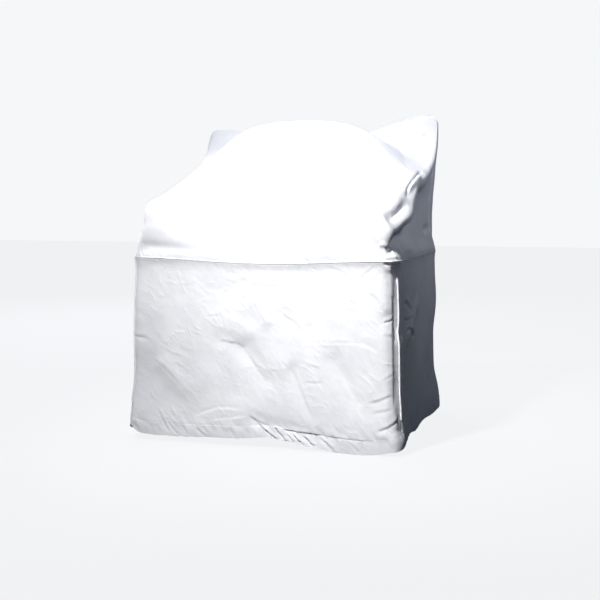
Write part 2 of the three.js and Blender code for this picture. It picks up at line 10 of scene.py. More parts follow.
import bpy
import numpy as np
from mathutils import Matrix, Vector


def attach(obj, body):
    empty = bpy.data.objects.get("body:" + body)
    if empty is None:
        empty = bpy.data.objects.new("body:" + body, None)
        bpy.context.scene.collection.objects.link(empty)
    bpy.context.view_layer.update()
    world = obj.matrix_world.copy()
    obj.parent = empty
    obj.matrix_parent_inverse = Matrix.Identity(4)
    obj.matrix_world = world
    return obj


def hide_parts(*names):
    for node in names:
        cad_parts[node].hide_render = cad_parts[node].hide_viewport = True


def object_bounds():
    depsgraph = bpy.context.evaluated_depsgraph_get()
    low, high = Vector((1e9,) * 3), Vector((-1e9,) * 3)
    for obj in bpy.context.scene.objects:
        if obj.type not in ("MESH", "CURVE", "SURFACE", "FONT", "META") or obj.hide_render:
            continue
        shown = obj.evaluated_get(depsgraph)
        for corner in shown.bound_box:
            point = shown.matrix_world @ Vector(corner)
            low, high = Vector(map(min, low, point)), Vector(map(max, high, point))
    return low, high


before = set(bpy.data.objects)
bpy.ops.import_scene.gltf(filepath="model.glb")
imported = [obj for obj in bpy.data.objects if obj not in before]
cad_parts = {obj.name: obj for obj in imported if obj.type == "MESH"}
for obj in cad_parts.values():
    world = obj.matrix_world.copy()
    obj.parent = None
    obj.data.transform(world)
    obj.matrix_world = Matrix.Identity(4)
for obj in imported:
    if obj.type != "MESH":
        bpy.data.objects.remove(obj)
cad_low, cad_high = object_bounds()

MM = 0.001

# Driving sizes, as in the solids.
CLOTH_THICKNESS = 2
LEDGE_HEIGHT = 600
LEDGE_HALF_WIDTH = 462
LEDGE_DEPTH = 742
LEDGE_SAG = 14
LEDGE_SHIFT = -5
FULL_WALL_HEIGHT = 160
FOOT_LIFT = 56
HEM_WIDTH = 42
MOUNT_CLEARANCE = 3
LEVEL_EDGE = 12

# The profile of a side of the hood: where the fold bulges, how far under it the wall is tucked in, how far
# out the tuck and the toe lie, and the shares of height of the foot, the rise, the toe and the end.
BULGE_DOWN = 0.5
TUCK_BELOW = 30
TUCK_OUT = 0.6
TOE_OUT = 0.8
FOOT_SHARE = 0.4
RISE_SHARE = 0.25
TOE_SHARE = 0.45
END_SHARE = 0.2

# What the solids leave out.
SHEET_THICKNESS = 1.2
HEM_EXTRA = 0.8
WELT_RADIUS = 3
WELT_SIDES = 12
WELT_SUNK = 4.9
CORNER_WELT_FOOT = 88
CORNER_WELT_RADIUS = 3.1
CORNER_WELT_SUNK = 1.6
STITCH_PITCH = 4.5
STITCH_LENGTH = 3.4
STITCH_RADIUS = 0.45
STITCH_SIDES = 5
TOPSTITCH_IN = 7
HEM_STITCH_IN = 3
SHARP_ANGLE = 50
TAU = 2 * math.pi

# How far the cloth rises at its seams, and how far that reaches to both sides.
SEAM_TUCK = (-1.3, 3)
CORNER_TUCK = (-0.7, 3)
HEM_DENT = (-0.25, 2.5)
LEDGE_ROLL = (0.5, 7)


def table(columns, **rows):
    """A table with named columns, from one row of numbers for each named place."""
    values = np.array(list(rows.values()), float)
    return {name: values[:, i] for i, name in enumerate(columns.split())} | {"rows": list(rows)}


SKIRT_LEVELS = table(
    "height half_width front back",
    hem=(0, 484, -19, 757),
    hem_stitch=(42, 482, -17, 755),
    low=(150, 476, -10, 748),
    middle=(290, 471, -3, 742),
    high=(430, 467, 2, 738),
    under_seam=(560, 461, 5, 737),
    seam=(600, 462, 0, 742),
)

HOOD_SIDES = table(
    "edge_x edge_y edge_z foot_x ledge_y",
    front_seam=(428, 0, 600, 428, 40),
    lip=(439, -2, 646, 435, 62),
    rise=(421, -4, 712, 418, 90),
    shoulder=(419, 14, 780, 415, 140),
    screen_foot=(421, 134, 810, 416, 215),
    screen=(425, 268, 845, 420, 315),
    screen_head=(430, 410, 882, 426, 425),
    arch=(435, 530, 918, 430, 520),
    behind_arch=(441, 625, 964, 434, 600),
    ear_front=(449, 700, 1046, 438, 655),
    ear=(453, 748, 1072, 440, 672),
    ear_back=(457, 757, 1026, 440, 680),
    back=(440, 752, 850, 440, 686),
    back_lip=(438, 746, 680, 442, 692),
    back_seam=(428, 742, 600, 428, 702),
)

HOOD_MIDDLE = table(
    "mid_y mid_z full",
    front_seam=(0, 600, 1.2),
    lip=(2, 642, 1.2),
    rise=(45, 706, 1.3),
    shoulder=(112, 774, 1.5),
    screen_foot=(205, 852, 1.7),
    screen=(300, 932, 1.9),
    screen_head=(405, 1018, 2.1),
    arch=(492, 1080, 2.15),
    behind_arch=(585, 1062, 1.8),
    ear_front=(690, 1036, 1.4),
    ear=(740, 1016, 1.1),
    ear_back=(752, 985, 1),
    back=(752, 850, 1),
    back_lip=(748, 680, 1),
    back_seam=(742, 600, 1),
)

RIGHT_FOLD = table(
    "inset back lift drop bulge flare tuck",
    front_seam=(0, 0, 0, 46, 0, -3, 0),
    lip=(30, 0, 0, 46, 0, -3, 0),
    rise=(-4, 0, -8, 22, 14, 16, 28),
    shoulder=(20, 0, -30, 60, 24, 54, 26),
    screen_foot=(36, 0, -38, 54, 40, 78, 30),
    screen=(16, 0, -26, 86, 26, 54, 32),
    screen_head=(-8, 6, -8, 50, 10, 2, 24),
    arch=(-6, 16, -28, 50, 9, 2, 20),
    behind_arch=(-5, 30, -34, 46, 7, 2, 14),
    ear_front=(0, 14, -48, 46, 8, 5, 8),
    ear=(22, 0, 38, 40, 27, 23, 6),
    ear_back=(14, 12, 16, 46, 12, 8, 0),
    back=(0, 5, 0, 46, 0, -3, 0),
    back_lip=(0, 0, 0, 46, 0, -3, 0),
    back_seam=(0, 0, 0, 46, 0, -3, 0),
)
LEFT_DROP = 46
LEFT_TURN_IN = 3

# The broad folds of the solids: from, to, how far each reaches to the sides, and how far it rises.
FOLDS = [
    ((-150, 0, 334), (-62, 0, 305), 30, -3),
    ((-62, 0, 300), (10, 0, 200), 34, -4),
    ((-30, 0, 350), (70, 0, 240), 36, 4),
    ((-50, 0, 492), (15, 0, 398), 26, 3),
    ((-66, 0, 521), (55, 0, 515), 22, -2),
    ((65, 0, 428), (158, 0, 370), 28, -3),
    ((110, 0, 235), (180, 0, 85), 30, -4),
    ((255, 0, 275), (330, 0, 140), 30, -4),
    ((-352, 0, 238), (-280, 0, 160), 30, 4),
    ((-430, 0, 190), (-300, 0, 80), 90, -9),
    ((-10, -10, 60), (190, -10, 20), 30, -5),
    ((424, 0, 413), (458, 18, 372), 26, -6),
    ((460, 21, 556), (481, 1, 60), 30, -16),
    ((431, 5, 556), (450, -16, 60), 17, -6),
    ((460, 300, 420), (460, 520, 120), 60, -10),
    ((464, 95, 335), (458, 330, 430), 30, 9),
    ((466, 730, 290), (466, 730, 170), 80, -14),
    ((-465, 250, 450), (-465, 450, 120), 70, -9),
    ((-160, 742, 480), (60, 742, 120), 64, -8),
    ((180, 742, 540), (260, 742, 200), 54, 7),
    ((434, 540, 893), (427, 300, 808), 13, -5),
    ((417, 60, 733), (429, 264, 780), 20, -6),
    ((290, 385, 945), (374, 212, 802), 26, -4),
    ((281, 570, 1010), (335, 640, 982), 22, -5),
    ((338, 645, 977), (384, 500, 925), 22, -4),
    ((440, 680, 800), (440, 690, 745), 40, -10),
    ((438, 660, 686), (438, 600, 684), 15, -9),
    ((-356, 10, 752), (-212, 313, 928), 30, -6),
    ((-212, 313, 928), (-108, 455, 1056), 28, -5),
    ((-415, -3, 636), (-30, 0, 631), 18, -5),
]

# Where the hem rides up from the floor or sinks onto it: x, y, reach and rise.
HEM_RISES = [
    (-484, -12, 30, 26),
    (-330, -19, 150, -8),
    (35, -19, 75, 12),
    (320, -24, 175, -28),
    (484, 100, 80, 28),
    (484, 330, 170, 22),
    (-484, 380, 220, 14),
    (-60, 757, 260, 16),
]

CROWN_SHARES = [-0.92, -0.76, -0.54, -0.27, 0, 0.27, 0.54, 0.76, 0.92]
WALL_POINTS = 8
FAR_SIDE = 2 * WALL_POINTS + len(CROWN_SHARES) - 1
MIDDLE = FAR_SIDE / 2
FAR_STATION = len(HOOD_SIDES["rows"]) - 1
LEFT_HOOD_SEAM = WALL_POINTS - 1
RIGHT_HOOD_SEAM = FAR_SIDE - WALL_POINTS + 3.5
BACK_HOOD_SEAM = HOOD_SIDES["rows"].index("ear")
MOUNT_STATION = HOOD_SIDES["rows"].index("arch")
LEFT_SKIRT_SEAM = 2.4
RIGHT_SKIRT_SEAM = FAR_SIDE - 0.6


def mix(a, b, share):
    return a + (b - a) * share


def smooth(value, low, high):
    """0 below low, 1 above high, and an even turn between them."""
    t = np.clip((value - low) / (high - low), 0, 1)
    return t * t * (3 - 2 * t)


def unit(vectors):
    return vectors / np.maximum(np.linalg.norm(vectors, axis=-1, keepdims=True), 1e-12)


def column(values, place):
    """One column of a table at places between its rows, on a smooth curve through all of them."""
    last = len(values) - 1
    index = np.clip(np.floor(place).astype(int), 0, last - 1)
    a, b, c, d = (values[np.clip(index + i, 0, last)] for i in (-1, 0, 1, 2))
    t = place - index
    bend = (t**3 - 2 * t**2 + t) * (c - a) / 2 + (t**3 - t**2) * (d - b) / 2
    return (2 * t**3 - 3 * t**2 + 1) * b + (3 * t**2 - 2 * t**3) * c + bend


def columns(rows, place):
    """Every column of a table at places between its rows."""
    return [column(values, place) for name, values in rows.items() if name != "rows"]


def soft_line(points, place):
    """Points of the cubic B-splines over rows of control points: cloth turns softly over every edge."""
    before = 2 * points[:, :1] - points[:, 1:2]
    after = 2 * points[:, -1:] - points[:, -2:-1]
    padded = np.concatenate([before, points, after], axis=1)
    index = np.clip(np.floor(place).astype(int), 0, points.shape[1] - 2)
    t = place - index
    weights = [(1 - t) ** 3, 3 * t**3 - 6 * t**2 + 4, 3 * (t - t * t) * t + 3 * t + 1, t**3]
    every = np.arange(len(place))
    return sum(w[:, None] / 6 * padded[every, index + i] for i, w in enumerate(weights))


def wall_points(station, side):
    """Control points of one side of the hood's sections, from the edge of the crown down to the ledge."""
    edge_x, edge_y, edge_z, foot_x, ledge_y = columns(HOOD_SIDES, station)
    inset, back, lift, drop, bulge, flare, tuck = columns(RIGHT_FOLD, station)
    if side < 0:
        inset = back = lift = bulge = tuck = np.zeros_like(station)
        drop, flare = inset + LEFT_DROP, inset - LEFT_TURN_IN
    tuck_x = mix(edge_x, foot_x, TUCK_OUT) - tuck
    edge_x, edge_y, edge_z = edge_x - inset, edge_y + back, edge_z + lift
    ledge_x = LEDGE_HALF_WIDTH + side * LEDGE_SHIFT
    height = np.maximum(edge_z - LEDGE_HEIGHT, 1)
    grown = smooth(height, 0, FULL_WALL_HEIGHT)
    foot = np.minimum(FOOT_LIFT, height * FOOT_SHARE)
    tuck_z = np.maximum(edge_z - drop - TUCK_BELOW, LEDGE_HEIGHT + foot + RISE_SHARE * (height - foot - drop))
    profile = [
        (edge_x, edge_z),
        (edge_x + bulge, edge_z - drop * BULGE_DOWN),
        (edge_x + flare, edge_z - drop),
        (tuck_x, tuck_z),
        (foot_x, LEDGE_HEIGHT + foot),
        (mix(foot_x, ledge_x, TOE_OUT), LEDGE_HEIGHT + foot * TOE_SHARE),
        (np.full_like(station, ledge_x), LEDGE_HEIGHT + foot * END_SHARE),
        (np.full_like(station, ledge_x), np.full_like(station, LEDGE_HEIGHT)),
    ]
    points = []
    for i, (x, z) in enumerate(profile):
        angle = i / (WALL_POINTS - 1) * math.pi / 2
        down = np.clip((edge_z - z) / height, 0, 1)
        wall = np.stack([x, mix(edge_y, ledge_y, down), z], axis=-1)
        corner = np.stack([
            mix(edge_x, ledge_x, math.sin(angle)),
            mix(ledge_y, edge_y, math.cos(angle)),
            mix(edge_z, LEDGE_HEIGHT, angle / (math.pi / 2)),
        ], axis=-1)
        points.append(mix(corner, wall, grown[:, None]) * (side, 1, 1))
    return np.stack(points, axis=1)


def smooth_hood(across, station):
    """The hood before any fold, at places across it and stations along it."""
    left, right = wall_points(station, -1), wall_points(station, 1)
    mid_y, mid_z, full = columns(HOOD_MIDDLE, station)
    crown = []
    for share in CROWN_SHARES:
        edge = left[:, 0] if share < 0 else right[:, 0]
        arch = 0.5 + 0.5 * np.cos(math.pi * abs(share) ** full)
        y, z = mix(edge[:, 1], mid_y, arch), mix(edge[:, 2], mid_z, arch)
        crown.append(np.stack([abs(share) * edge[:, 0], y, z], axis=-1))
    return soft_line(np.concatenate([left[:, ::-1], np.stack(crown, axis=1), right], axis=1), across)


# How many parts the ledge seam is measured in, along the front or back and along a side.
FRONT_PARTS, SIDE_PARTS = 240, 60


def ledge_line():
    """The line of the ledge seam and the distance round it, from the front's left end."""
    across = np.concatenate([
        np.linspace(0, FAR_SIDE, FRONT_PARTS, endpoint=False), np.full(SIDE_PARTS, FAR_SIDE),
        np.linspace(FAR_SIDE, 0, FRONT_PARTS, endpoint=False), np.zeros(SIDE_PARTS + 1),
    ])
    station = np.concatenate([
        np.zeros(FRONT_PARTS), np.linspace(0, FAR_STATION, SIDE_PARTS, endpoint=False),
        np.full(FRONT_PARTS, FAR_STATION), np.linspace(FAR_STATION, 0, SIDE_PARTS + 1),
    ])
    line = smooth_hood(across, station)[:, :2]
    length = np.concatenate([[0], np.cumsum(np.linalg.norm(np.diff(line, axis=0), axis=1))])
    return line, length


LEDGE_LINE, LEDGE_LENGTHS = ledge_line()
LEDGE_LENGTH = LEDGE_LENGTHS[-1]


def on_ledge(distance):
    along = distance % LEDGE_LENGTH
    return [np.interp(along, LEDGE_LENGTHS, LEDGE_LINE[:, i]) for i in (0, 1)]


def ledge_distance(across, at_back=False):
    """The distance round the ledge at a place across the front seam or the back seam."""
    part = round(across / FAR_SIDE * FRONT_PARTS)
    return LEDGE_LENGTHS[2 * FRONT_PARTS + SIDE_PARTS - part if at_back else part]


def smooth_skirt(distance, height):
    """The skirt before any fold, at distances round it and heights over the floor."""
    place_x, place_y = on_ledge(distance)
    heights = SKIRT_LEVELS["height"]
    level = np.interp(height, heights, np.arange(len(heights)))
    out = column(SKIRT_LEVELS["half_width"], level) / LEDGE_HALF_WIDTH
    x = LEDGE_SHIFT + (place_x - LEDGE_SHIFT) * out
    y = mix(column(SKIRT_LEVELS["front"], level), column(SKIRT_LEVELS["back"], level), place_y / LEDGE_DEPTH)
    hem = np.zeros_like(x)
    for at_x, at_y, reach, rise in HEM_RISES:
        hem += rise * np.exp(-((x - at_x) ** 2 + (y - at_y) ** 2) / reach**2)
    return np.stack([x, y, height + hem * (1 - height / LEDGE_HEIGHT) ** 3], axis=-1)


# Over which steps the slope of the cloth is measured, and how far in from the edges.
HOOD_STEP, HOOD_EDGE = 0.03, 0.06
AROUND_STEP, HEIGHT_STEP = 2, 1
UNDER_LEDGE = 4


def outward(surface, u, v):
    """The outward normals of a surface. At the ledge seam they are level."""
    if surface is smooth_hood:
        a, b = np.clip(u, HOOD_EDGE, FAR_SIDE - HOOD_EDGE), np.clip(v, HOOD_EDGE, FAR_STATION - HOOD_EDGE)
        u_step = v_step = HOOD_STEP
    else:
        a, b = u, np.clip(v, HEIGHT_STEP, LEDGE_HEIGHT - UNDER_LEDGE)
        u_step, v_step = AROUND_STEP, HEIGHT_STEP
    du = surface(a + u_step, b) - surface(a - u_step, b)
    dv = surface(a, b + v_step) - surface(a, b - v_step)
    normal = unit(np.cross(du, dv))
    normal[:, 2] *= np.clip(np.abs(surface(u, v)[:, 2] - LEDGE_HEIGHT) / LEVEL_EDGE, 0, 1)
    return unit(normal)


def broad_folds(points):
    """How far the broad folds push the cloth out."""
    total = np.zeros(len(points))
    for start, end, reach, rise in FOLDS:
        a, along = np.array(start, float), np.array(end, float) - start
        share = np.clip((points - a) @ along / (along @ along), 0, 1)
        gap = points - a - share[:, None] * along
        total += rise * np.exp(-(gap * gap).sum(1) / reach**2)
    return total


SAG_HEIGHT = 90
SAG_DEPTH = 140


def ledge_sag(points):
    """The front of the ledge sags a little between its corners."""
    x, y, z = points.T
    across = np.cos(math.pi / 2 * np.clip(x / LEDGE_HALF_WIDTH, -1, 1)) ** 2
    near = np.exp(-(((z - LEDGE_HEIGHT) / SAG_HEIGHT) ** 2)) * np.clip(1 - y / SAG_DEPTH, 0, 1)
    return -LEDGE_SAG * across * near


def crease_line(places, per_span=6):
    """A smooth line through a few places on the cloth."""
    places = np.array(places, float)
    if len(places) == 2:
        return places
    along = np.linspace(0, len(places) - 1, per_span * (len(places) - 1) + 1)
    return np.stack([column(places[:, i], along) for i in range(3)], axis=-1)


# A crease has died away at this many times its reach.
DIED_AWAY = 2.6


def crease_rise(points, normals, line, left, right, turn, fade=(0.2, 0.2)):
    """How far one crease moves the cloth. Left and right are the height and reach of the cloth on each side
    of the line, seen along it from outside. Turn is how wide the cloth turns from one to the other, and fade
    the shares of the line over which it starts and dies away."""
    margin = DIED_AWAY * max(left[1], right[1], turn)
    low, high = line.min(0) - margin, line.max(0) + margin
    near = np.flatnonzero(((points > low) & (points < high)).all(axis=1))
    total = np.zeros(len(points))
    if not len(near):
        return total
    p, n = points[near], normals[near]
    lengths = np.linalg.norm(np.diff(line, axis=0), axis=1)
    before = np.concatenate([[0], np.cumsum(lengths)])
    best = np.full(len(near), np.inf)
    place, side = np.zeros(len(near)), np.zeros(len(near))
    for a, b, length, start in zip(line[:-1], line[1:], lengths, before):
        along = (b - a) / length
        step = np.clip((p - a) @ along, 0, length)
        gap = p - a - step[:, None] * along
        size = (gap * gap).sum(1)
        closer = size < best
        best = np.where(closer, size, best)
        place = np.where(closer, start + step, place)
        side = np.where(closer, -(np.cross(n, along) * gap).sum(1), side)
    share = place / before[-1]
    strength = smooth(share, -1e-6, fade[0] + 1e-6) * (1 - smooth(share, 1 - fade[1] - 1e-6, 1 + 1e-6))
    away = np.sqrt(best) * np.sign(side)
    to_right = 0.5 + 0.5 * np.tanh(away / turn)
    rise = (1 - to_right) * left[0] * np.exp(-((away / left[1]) ** 2))
    rise += to_right * right[0] * np.exp(-((away / right[1]) ** 2))
    total[near] = rise * strength
    return total


# Creases of the skirt: the line, the height and reach of its left and right sides, how wide
# it turns and, where they aren't a fifth, the shares over which it starts and dies away. The heights and
# turns are those of a slack cloth: the taut skirt keeps the shares that follow the table.
CREASES = [
    # The long diagonal pull across the front of the skirt, and the soft ridges above it.
    ([(-162, 3, 325), (-120, 4, 323), (-78, 5, 315), (-46, 4, 283), (-9, 0, 234), (30, -6, 187)],
     (2.4, 26), (-2.8, 12), 5),
    ([(-43, 0, 487), (-14, -4, 438), (16, -4, 386)], (2.5, 10), (-2.5, 9), 4),
    ([(-62, 5, 523), (-21, 5, 524), (16, 7, 518), (62, 5, 519)], (1, 12), (-2.2, 8), 4),
    ([(65, 5, 423), (107, 3, 402), (141, 3, 367), (170, -1, 335)], (2, 16), (-2.4, 12), 6),
    # The second and third diagonals, which end over the hem.
    ([(102, -4, 257), (112, -1, 234), (133, -3, 185), (154, -6, 137), (183, -9, 79)],
     (2.4, 12), (-4, 14), 5),
    ([(132, -12, 93), (156, -10, 61)], (1.6, 9), (-1.8, 9), 4),
    ([(247, 2, 272), (268, 0, 234), (289, -4, 193), (312, -3, 158), (327, -8, 127), (359, -15, 68)],
     (-3.4, 18), (2, 12), 5),
    # Creases pressed in while the cover lay folded away.
    ([(129, -2, 326), (221, -2, 328), (284, -2, 330), (372, -2, 329)], (-0.9, 7), (0.9, 7), 3),
    ([(146, -3, 199), (216, -7, 203)], (1.6, 10), (-2.2, 9), 4),
    ([(136, -3, 252), (191, -5, 254)], (0.8, 12), (-1.2, 10), 5),
    # Short creases.
    ([(-190, 0, 408), (-147, 0, 412)], (1.4, 9), (-2.2, 7), 4),
    ([(-160, -5, 259), (-130, -7, 216)], (1, 8), (-1.8, 7), 3),
    ([(-392, -8, 258), (-338, -13, 218), (-276, -13, 162)], (2.6, 9), (-2.4, 10), 4),
    ([(-301, -6, 259), (-289, -9, 216)], (1.4, 6), (-1.4, 6), 3),
    ([(-312, -1, 354), (-265, -1, 353)], (-1.2, 7), (1.2, 7), 3),
    ([(299, 2, 476), (326, 1, 455)], (1.2, 6), (-2.2, 6), 3),
    ([(243, 1, 452), (256, 1, 443)], (1, 5), (-1.6, 5), 3),
    ([(286, 1, 434), (307, 0, 412)], (0.8, 6), (-1.2, 6), 3),
    # Pulls from the left edge of the skirt.
    ([(-470, 16, 330), (-440, 1, 329), (-404, -2, 326)], (1.5, 14), (-5, 10), 5, (0, 0.5)),
    ([(-470, 16, 280), (-440, -2, 239)], (1.2, 8), (-2.4, 8), 4, (0, 0.4)),
    ([(-470, 16, 225), (-430, -1, 188)], (1.6, 9), (-3.2, 9), 4, (0, 0.4)),
    ([(-468, 12, 178), (-436, -5, 147)], (1.4, 8), (-2.6, 8), 4, (0, 0.4)),
    # Pulls at the right corner, where the welt is sewn in.
    ([(402, 2, 402), (424, 4, 410), (450, 12, 419)], (4.6, 8), (-6.4, 8), 4, (0.3, 0)),
    ([(418, 1, 370), (438, 3, 358), (456, 18, 352)], (4, 7), (-5.6, 8), 4, (0.3, 0)),
    ([(357, -9, 142), (393, -10, 151), (440, -6, 172)], (2.6, 12), (-4.4, 11), 5, (0.4, 0.1)),
    ([(364, -11, 110), (397, -12, 116), (440, -8, 126)], (1.6, 10), (-3, 10), 4, (0.5, 0.1)),
    ([(402, -7, 213), (428, -6, 230), (452, 5, 244)], (1.8, 8), (-2.6, 8), 4, (0.4, 0)),
    ([(390, -16, 52), (430, -15, 68), (462, 0, 92)], (3.8, 11), (-6.4, 10), 4, (0.3, 0)),
    ([(358, 3, 504), (391, 2, 476), (417, 5, 431)], (1.8, 16), (-4, 16), 8),
    ([(328, -2, 325), (361, -2, 322), (394, -3, 302)], (-2.2, 14), (1.2, 12), 6),
    # The soft hollow under the ledge.
    ([(-440, 4, 582), (-200, 2, 582), (0, 2, 578), (200, 2, 580), (430, 4, 584)],
     (-2.8, 14), (-2.8, 14), 4, (0.05, 0.05)),
    # Where the front begins to turn round the right corner.
    ([(447, 8, 525), (449, 7, 440), (450, 4, 340), (453, 0, 240), (458, -8, 120)],
     (-7.5, 24), (-7.5, 14), 1, (0.15, 0.1)),
    # Puckers in the hollow under the ledge.
    ([(176, 0, 586), (209, 2, 556)], (1.2, 8), (-2, 7), 4, (0, 0.5)),
    ([(229, 0, 586), (266, 1, 573), (302, 3, 555)], (1.2, 8), (-2, 7), 4, (0, 0.5)),
    ([(302, 3, 522), (335, 3, 551), (375, 1, 584)], (1.6, 10), (-1.2, 9), 4, (0.5, 0)),
    ([(330, 3, 500), (362, 3, 533), (398, 2, 570)], (1, 9), (-1.2, 9), 4, (0.5, 0.1)),
    ([(-60, 0, 590), (-36, 0, 570), (-20, 0, 566)], (1, 7), (-2.2, 6), 3, (0, 0.5)),
    # The cloth gathered over the hem.
    ([(-241, -15, 62), (-186, -15, 85), (-139, -14, 98), (-58, -14, 96)], (-1.8, 10), (1.2, 10), 4),
    ([(-178, -17, 55), (-100, -16, 67), (-37, -14, 77)], (-1.4, 8), (1.4, 9), 4),
    ([(-40, -14, 82), (-13, -12, 64), (20, -11, 50)], (4, 12), (-6.5, 8), 4),
    ([(70, -12, 42), (139, -12, 34), (183, -12, 32), (218, -15, 28)], (5, 11), (-5.4, 8), 3),
    ([(218, -15, 28), (310, -18, 21), (406, -18, 20)], (1.6, 9), (-1.6, 8), 3),
]
TAUT_HEIGHT = 0.42
TAUT_TURN = 0.5

# Pleats across the hem, each a fold that leans over: top, foot and depth.
PLEAT_REACH = (7, 6)
PLEAT_TURN = 2.5
PLEAT_FADE = (0.25, 0.1)
HEM_PLEATS = [
    ((-374, -11, 88), (-330, -18, 10), 2.6),
    ((-336, -15, 44), (-298, -19, 2), 2.4),
    ((-328, -7, 90), (-300, -12, 52), 1.8),
    ((-232, -18, 30), (-186, -20, -2), 2.4),
    ((-13, -12, 60), (24, -13, 30), 3.2),
    ((14, -14, 40), (58, -18, 6), 3.6),
    ((45, -11, 52), (92, -18, 0), 4.2),
    ((86, -14, 30), (120, -18, 0), 3),
    ((108, -13, 30), (150, -17, -8), 3.8),
    ((140, -12, 30), (188, -17, -10), 3.6),
    ((204, -14, 24), (252, -19, -16), 3),
    ((300, -18, 18), (340, -20, -18), 1.6),
]

# Creases of the hood and of the right side, in the same columns. These keep their full height.
HOOD_CREASES = [
    # The soft line beside the screen, and the curls in the right ear.
    ([(287, 426, 970), (289, 376, 936), (302, 343, 906), (338, 297, 857), (374, 217, 804)],
     (2, 14), (-4.5, 9), 5),
    ([(230, 721, 1035), (286, 691, 1010), (313, 691, 1003), (335, 665, 985)], (1.6, 9), (-3.4, 7), 4),
    ([(381, 738, 1077), (349, 731, 1053), (339, 720, 1027), (340, 691, 995)], (2.4, 10), (-4.4, 8), 4),
    ([(421, 729, 1044), (402, 725, 1032), (414, 718, 1010), (427, 701, 979)], (-5, 8), (3, 8), 4),
    ([(383, 710, 1001), (398, 678, 964)], (2, 8), (-4, 7), 4),
    # The groove inside the fold that hangs over the right side, and the hollow in front of it.
    ([(432, 560, 897), (435, 435, 876), (426, 342, 839), (428, 302, 805)],
     (2.5, 12), (-11, 7), 2.5, (0.2, 0.15)),
    ([(415, 80, 737), (420, 185, 758), (430, 273, 782)], (-5, 11), (-8, 8), 3, (0.3, 0.3)),
    # The roll of the left slope.
    ([(-356, 7, 750), (-341, 156, 817), (-212, 313, 928), (-134, 386, 998), (-108, 459, 1060)],
     (-3, 18), (2, 16), 8),
    # The lumps and slits at the right end of the ledge.
    ([(436, -4, 664), (437, -1, 646), (437, 3, 626)], (-8, 27), (-8, 9), 0.5, (0.2, 0.1)),
    ([(394, -2, 654), (410, 0, 652), (424, 4, 646)], (3.5, 9), (3.5, 7), 3),
    ([(428, 14, 643), (431, 10, 630), (427, 8, 617)], (-6, 5), (-6, 6), 3),
    ([(412, 2, 611), (433, 4, 614), (450, 34, 612)], (3.5, 6), (3.5, 6), 3),
    ([(410, 0, 597), (429, 3, 580), (454, 32, 562)], (-4.5, 5), (-4.5, 5), 2.5, (0.1, 0.2)),
    ([(415, 0, 591), (437, 3, 589), (450, 16, 586)], (-3, 4), (-3, 4), 2, (0.1, 0.2)),
    # The crumpled place on the right side of the skirt, near its corner.
    ([(462, 78, 470), (463, 150, 452), (463, 210, 420)], (5, 15), (-5, 12), 5),
    ([(463, 74, 420), (464, 120, 402), (463, 215, 404)], (5, 13), (-5, 12), 5),
    ([(465, 80, 366), (465, 140, 372), (465, 250, 330)], (6, 14), (-6, 12), 5),
]


NOISE_CELLS = 16


def soft_noise(points, size, seed):
    """Smooth noise from about -1 to 1, with bumps of about this size."""
    values = np.random.default_rng(seed).uniform(-1, 1, (NOISE_CELLS, NOISE_CELLS, NOISE_CELLS))
    place = points / size
    low = np.floor(place).astype(int)
    t = place - low
    t = t * t * (3 - 2 * t)
    total = np.zeros(len(points))
    for corner in np.ndindex(2, 2, 2):
        weight = np.prod(np.where(corner, t, 1 - t), axis=1)
        total += weight * values[tuple(((low + corner) % NOISE_CELLS).T)]
    return total


# Most scattered creases slant down to the right: the slant and how far it strays, in radians, and the share
# of creases that keep to it. BEND is how far a crease bends, as a share of its half length.
SLANT, SLANT_STRAYS, SLANTED_SHARE = -0.7, 0.75, 0.7
ANY_ANGLE = 1.57
BEND = 0.3


def scattered(surface, seed, count, u_span, v_span, per_u, per_v, length, height, reach):
    """Short creases at random places, as a coated cloth keeps them after it was folded away. There are per_u
    and per_v millimetres in a step of u and of v."""
    random = np.random.default_rng(seed)
    ends, middle = np.array([-1, 0, 1]), np.array([0, 1, 0])
    made = []
    for _ in range(count):
        u, v = random.uniform(*u_span), random.uniform(*v_span)
        slanted = random.random() < SLANTED_SHARE
        angle = random.normal(SLANT, SLANT_STRAYS) if slanted else random.uniform(-ANY_ANGLE, ANY_ANGLE)
        half = random.uniform(*length) / 2
        bend = random.uniform(-BEND, BEND)
        us = u + (ends * half * math.cos(angle) - middle * bend * half * math.sin(angle)) / per_u
        vs = v + (ends * half * math.sin(angle) + middle * bend * half * math.cos(angle)) / per_v
        depth = random.uniform(*height)
        wide = random.uniform(*reach)
        tilt = random.uniform(-1, 1)
        left, right = depth * max(tilt, -0.4), -depth * min(tilt + 0.7, 1)
        made.append((surface(us, vs), (left, wide), (right, wide), wide * 0.45))
    return made


SKIRT_SCATTER = scattered(
    smooth_skirt, seed=11, count=520, u_span=(0, LEDGE_LENGTH), v_span=(20, 585), per_u=1, per_v=1,
    length=(22, 90), height=(0.15, 0.55), reach=(4, 9))
HOOD_SCATTER = scattered(
    smooth_hood, seed=12, count=300, u_span=(0.5, FAR_SIDE - 0.5), v_span=(0.3, FAR_STATION - 0.3),
    per_u=77, per_v=100, length=(26, 110), height=(0.2, 0.7), reach=(5, 11))


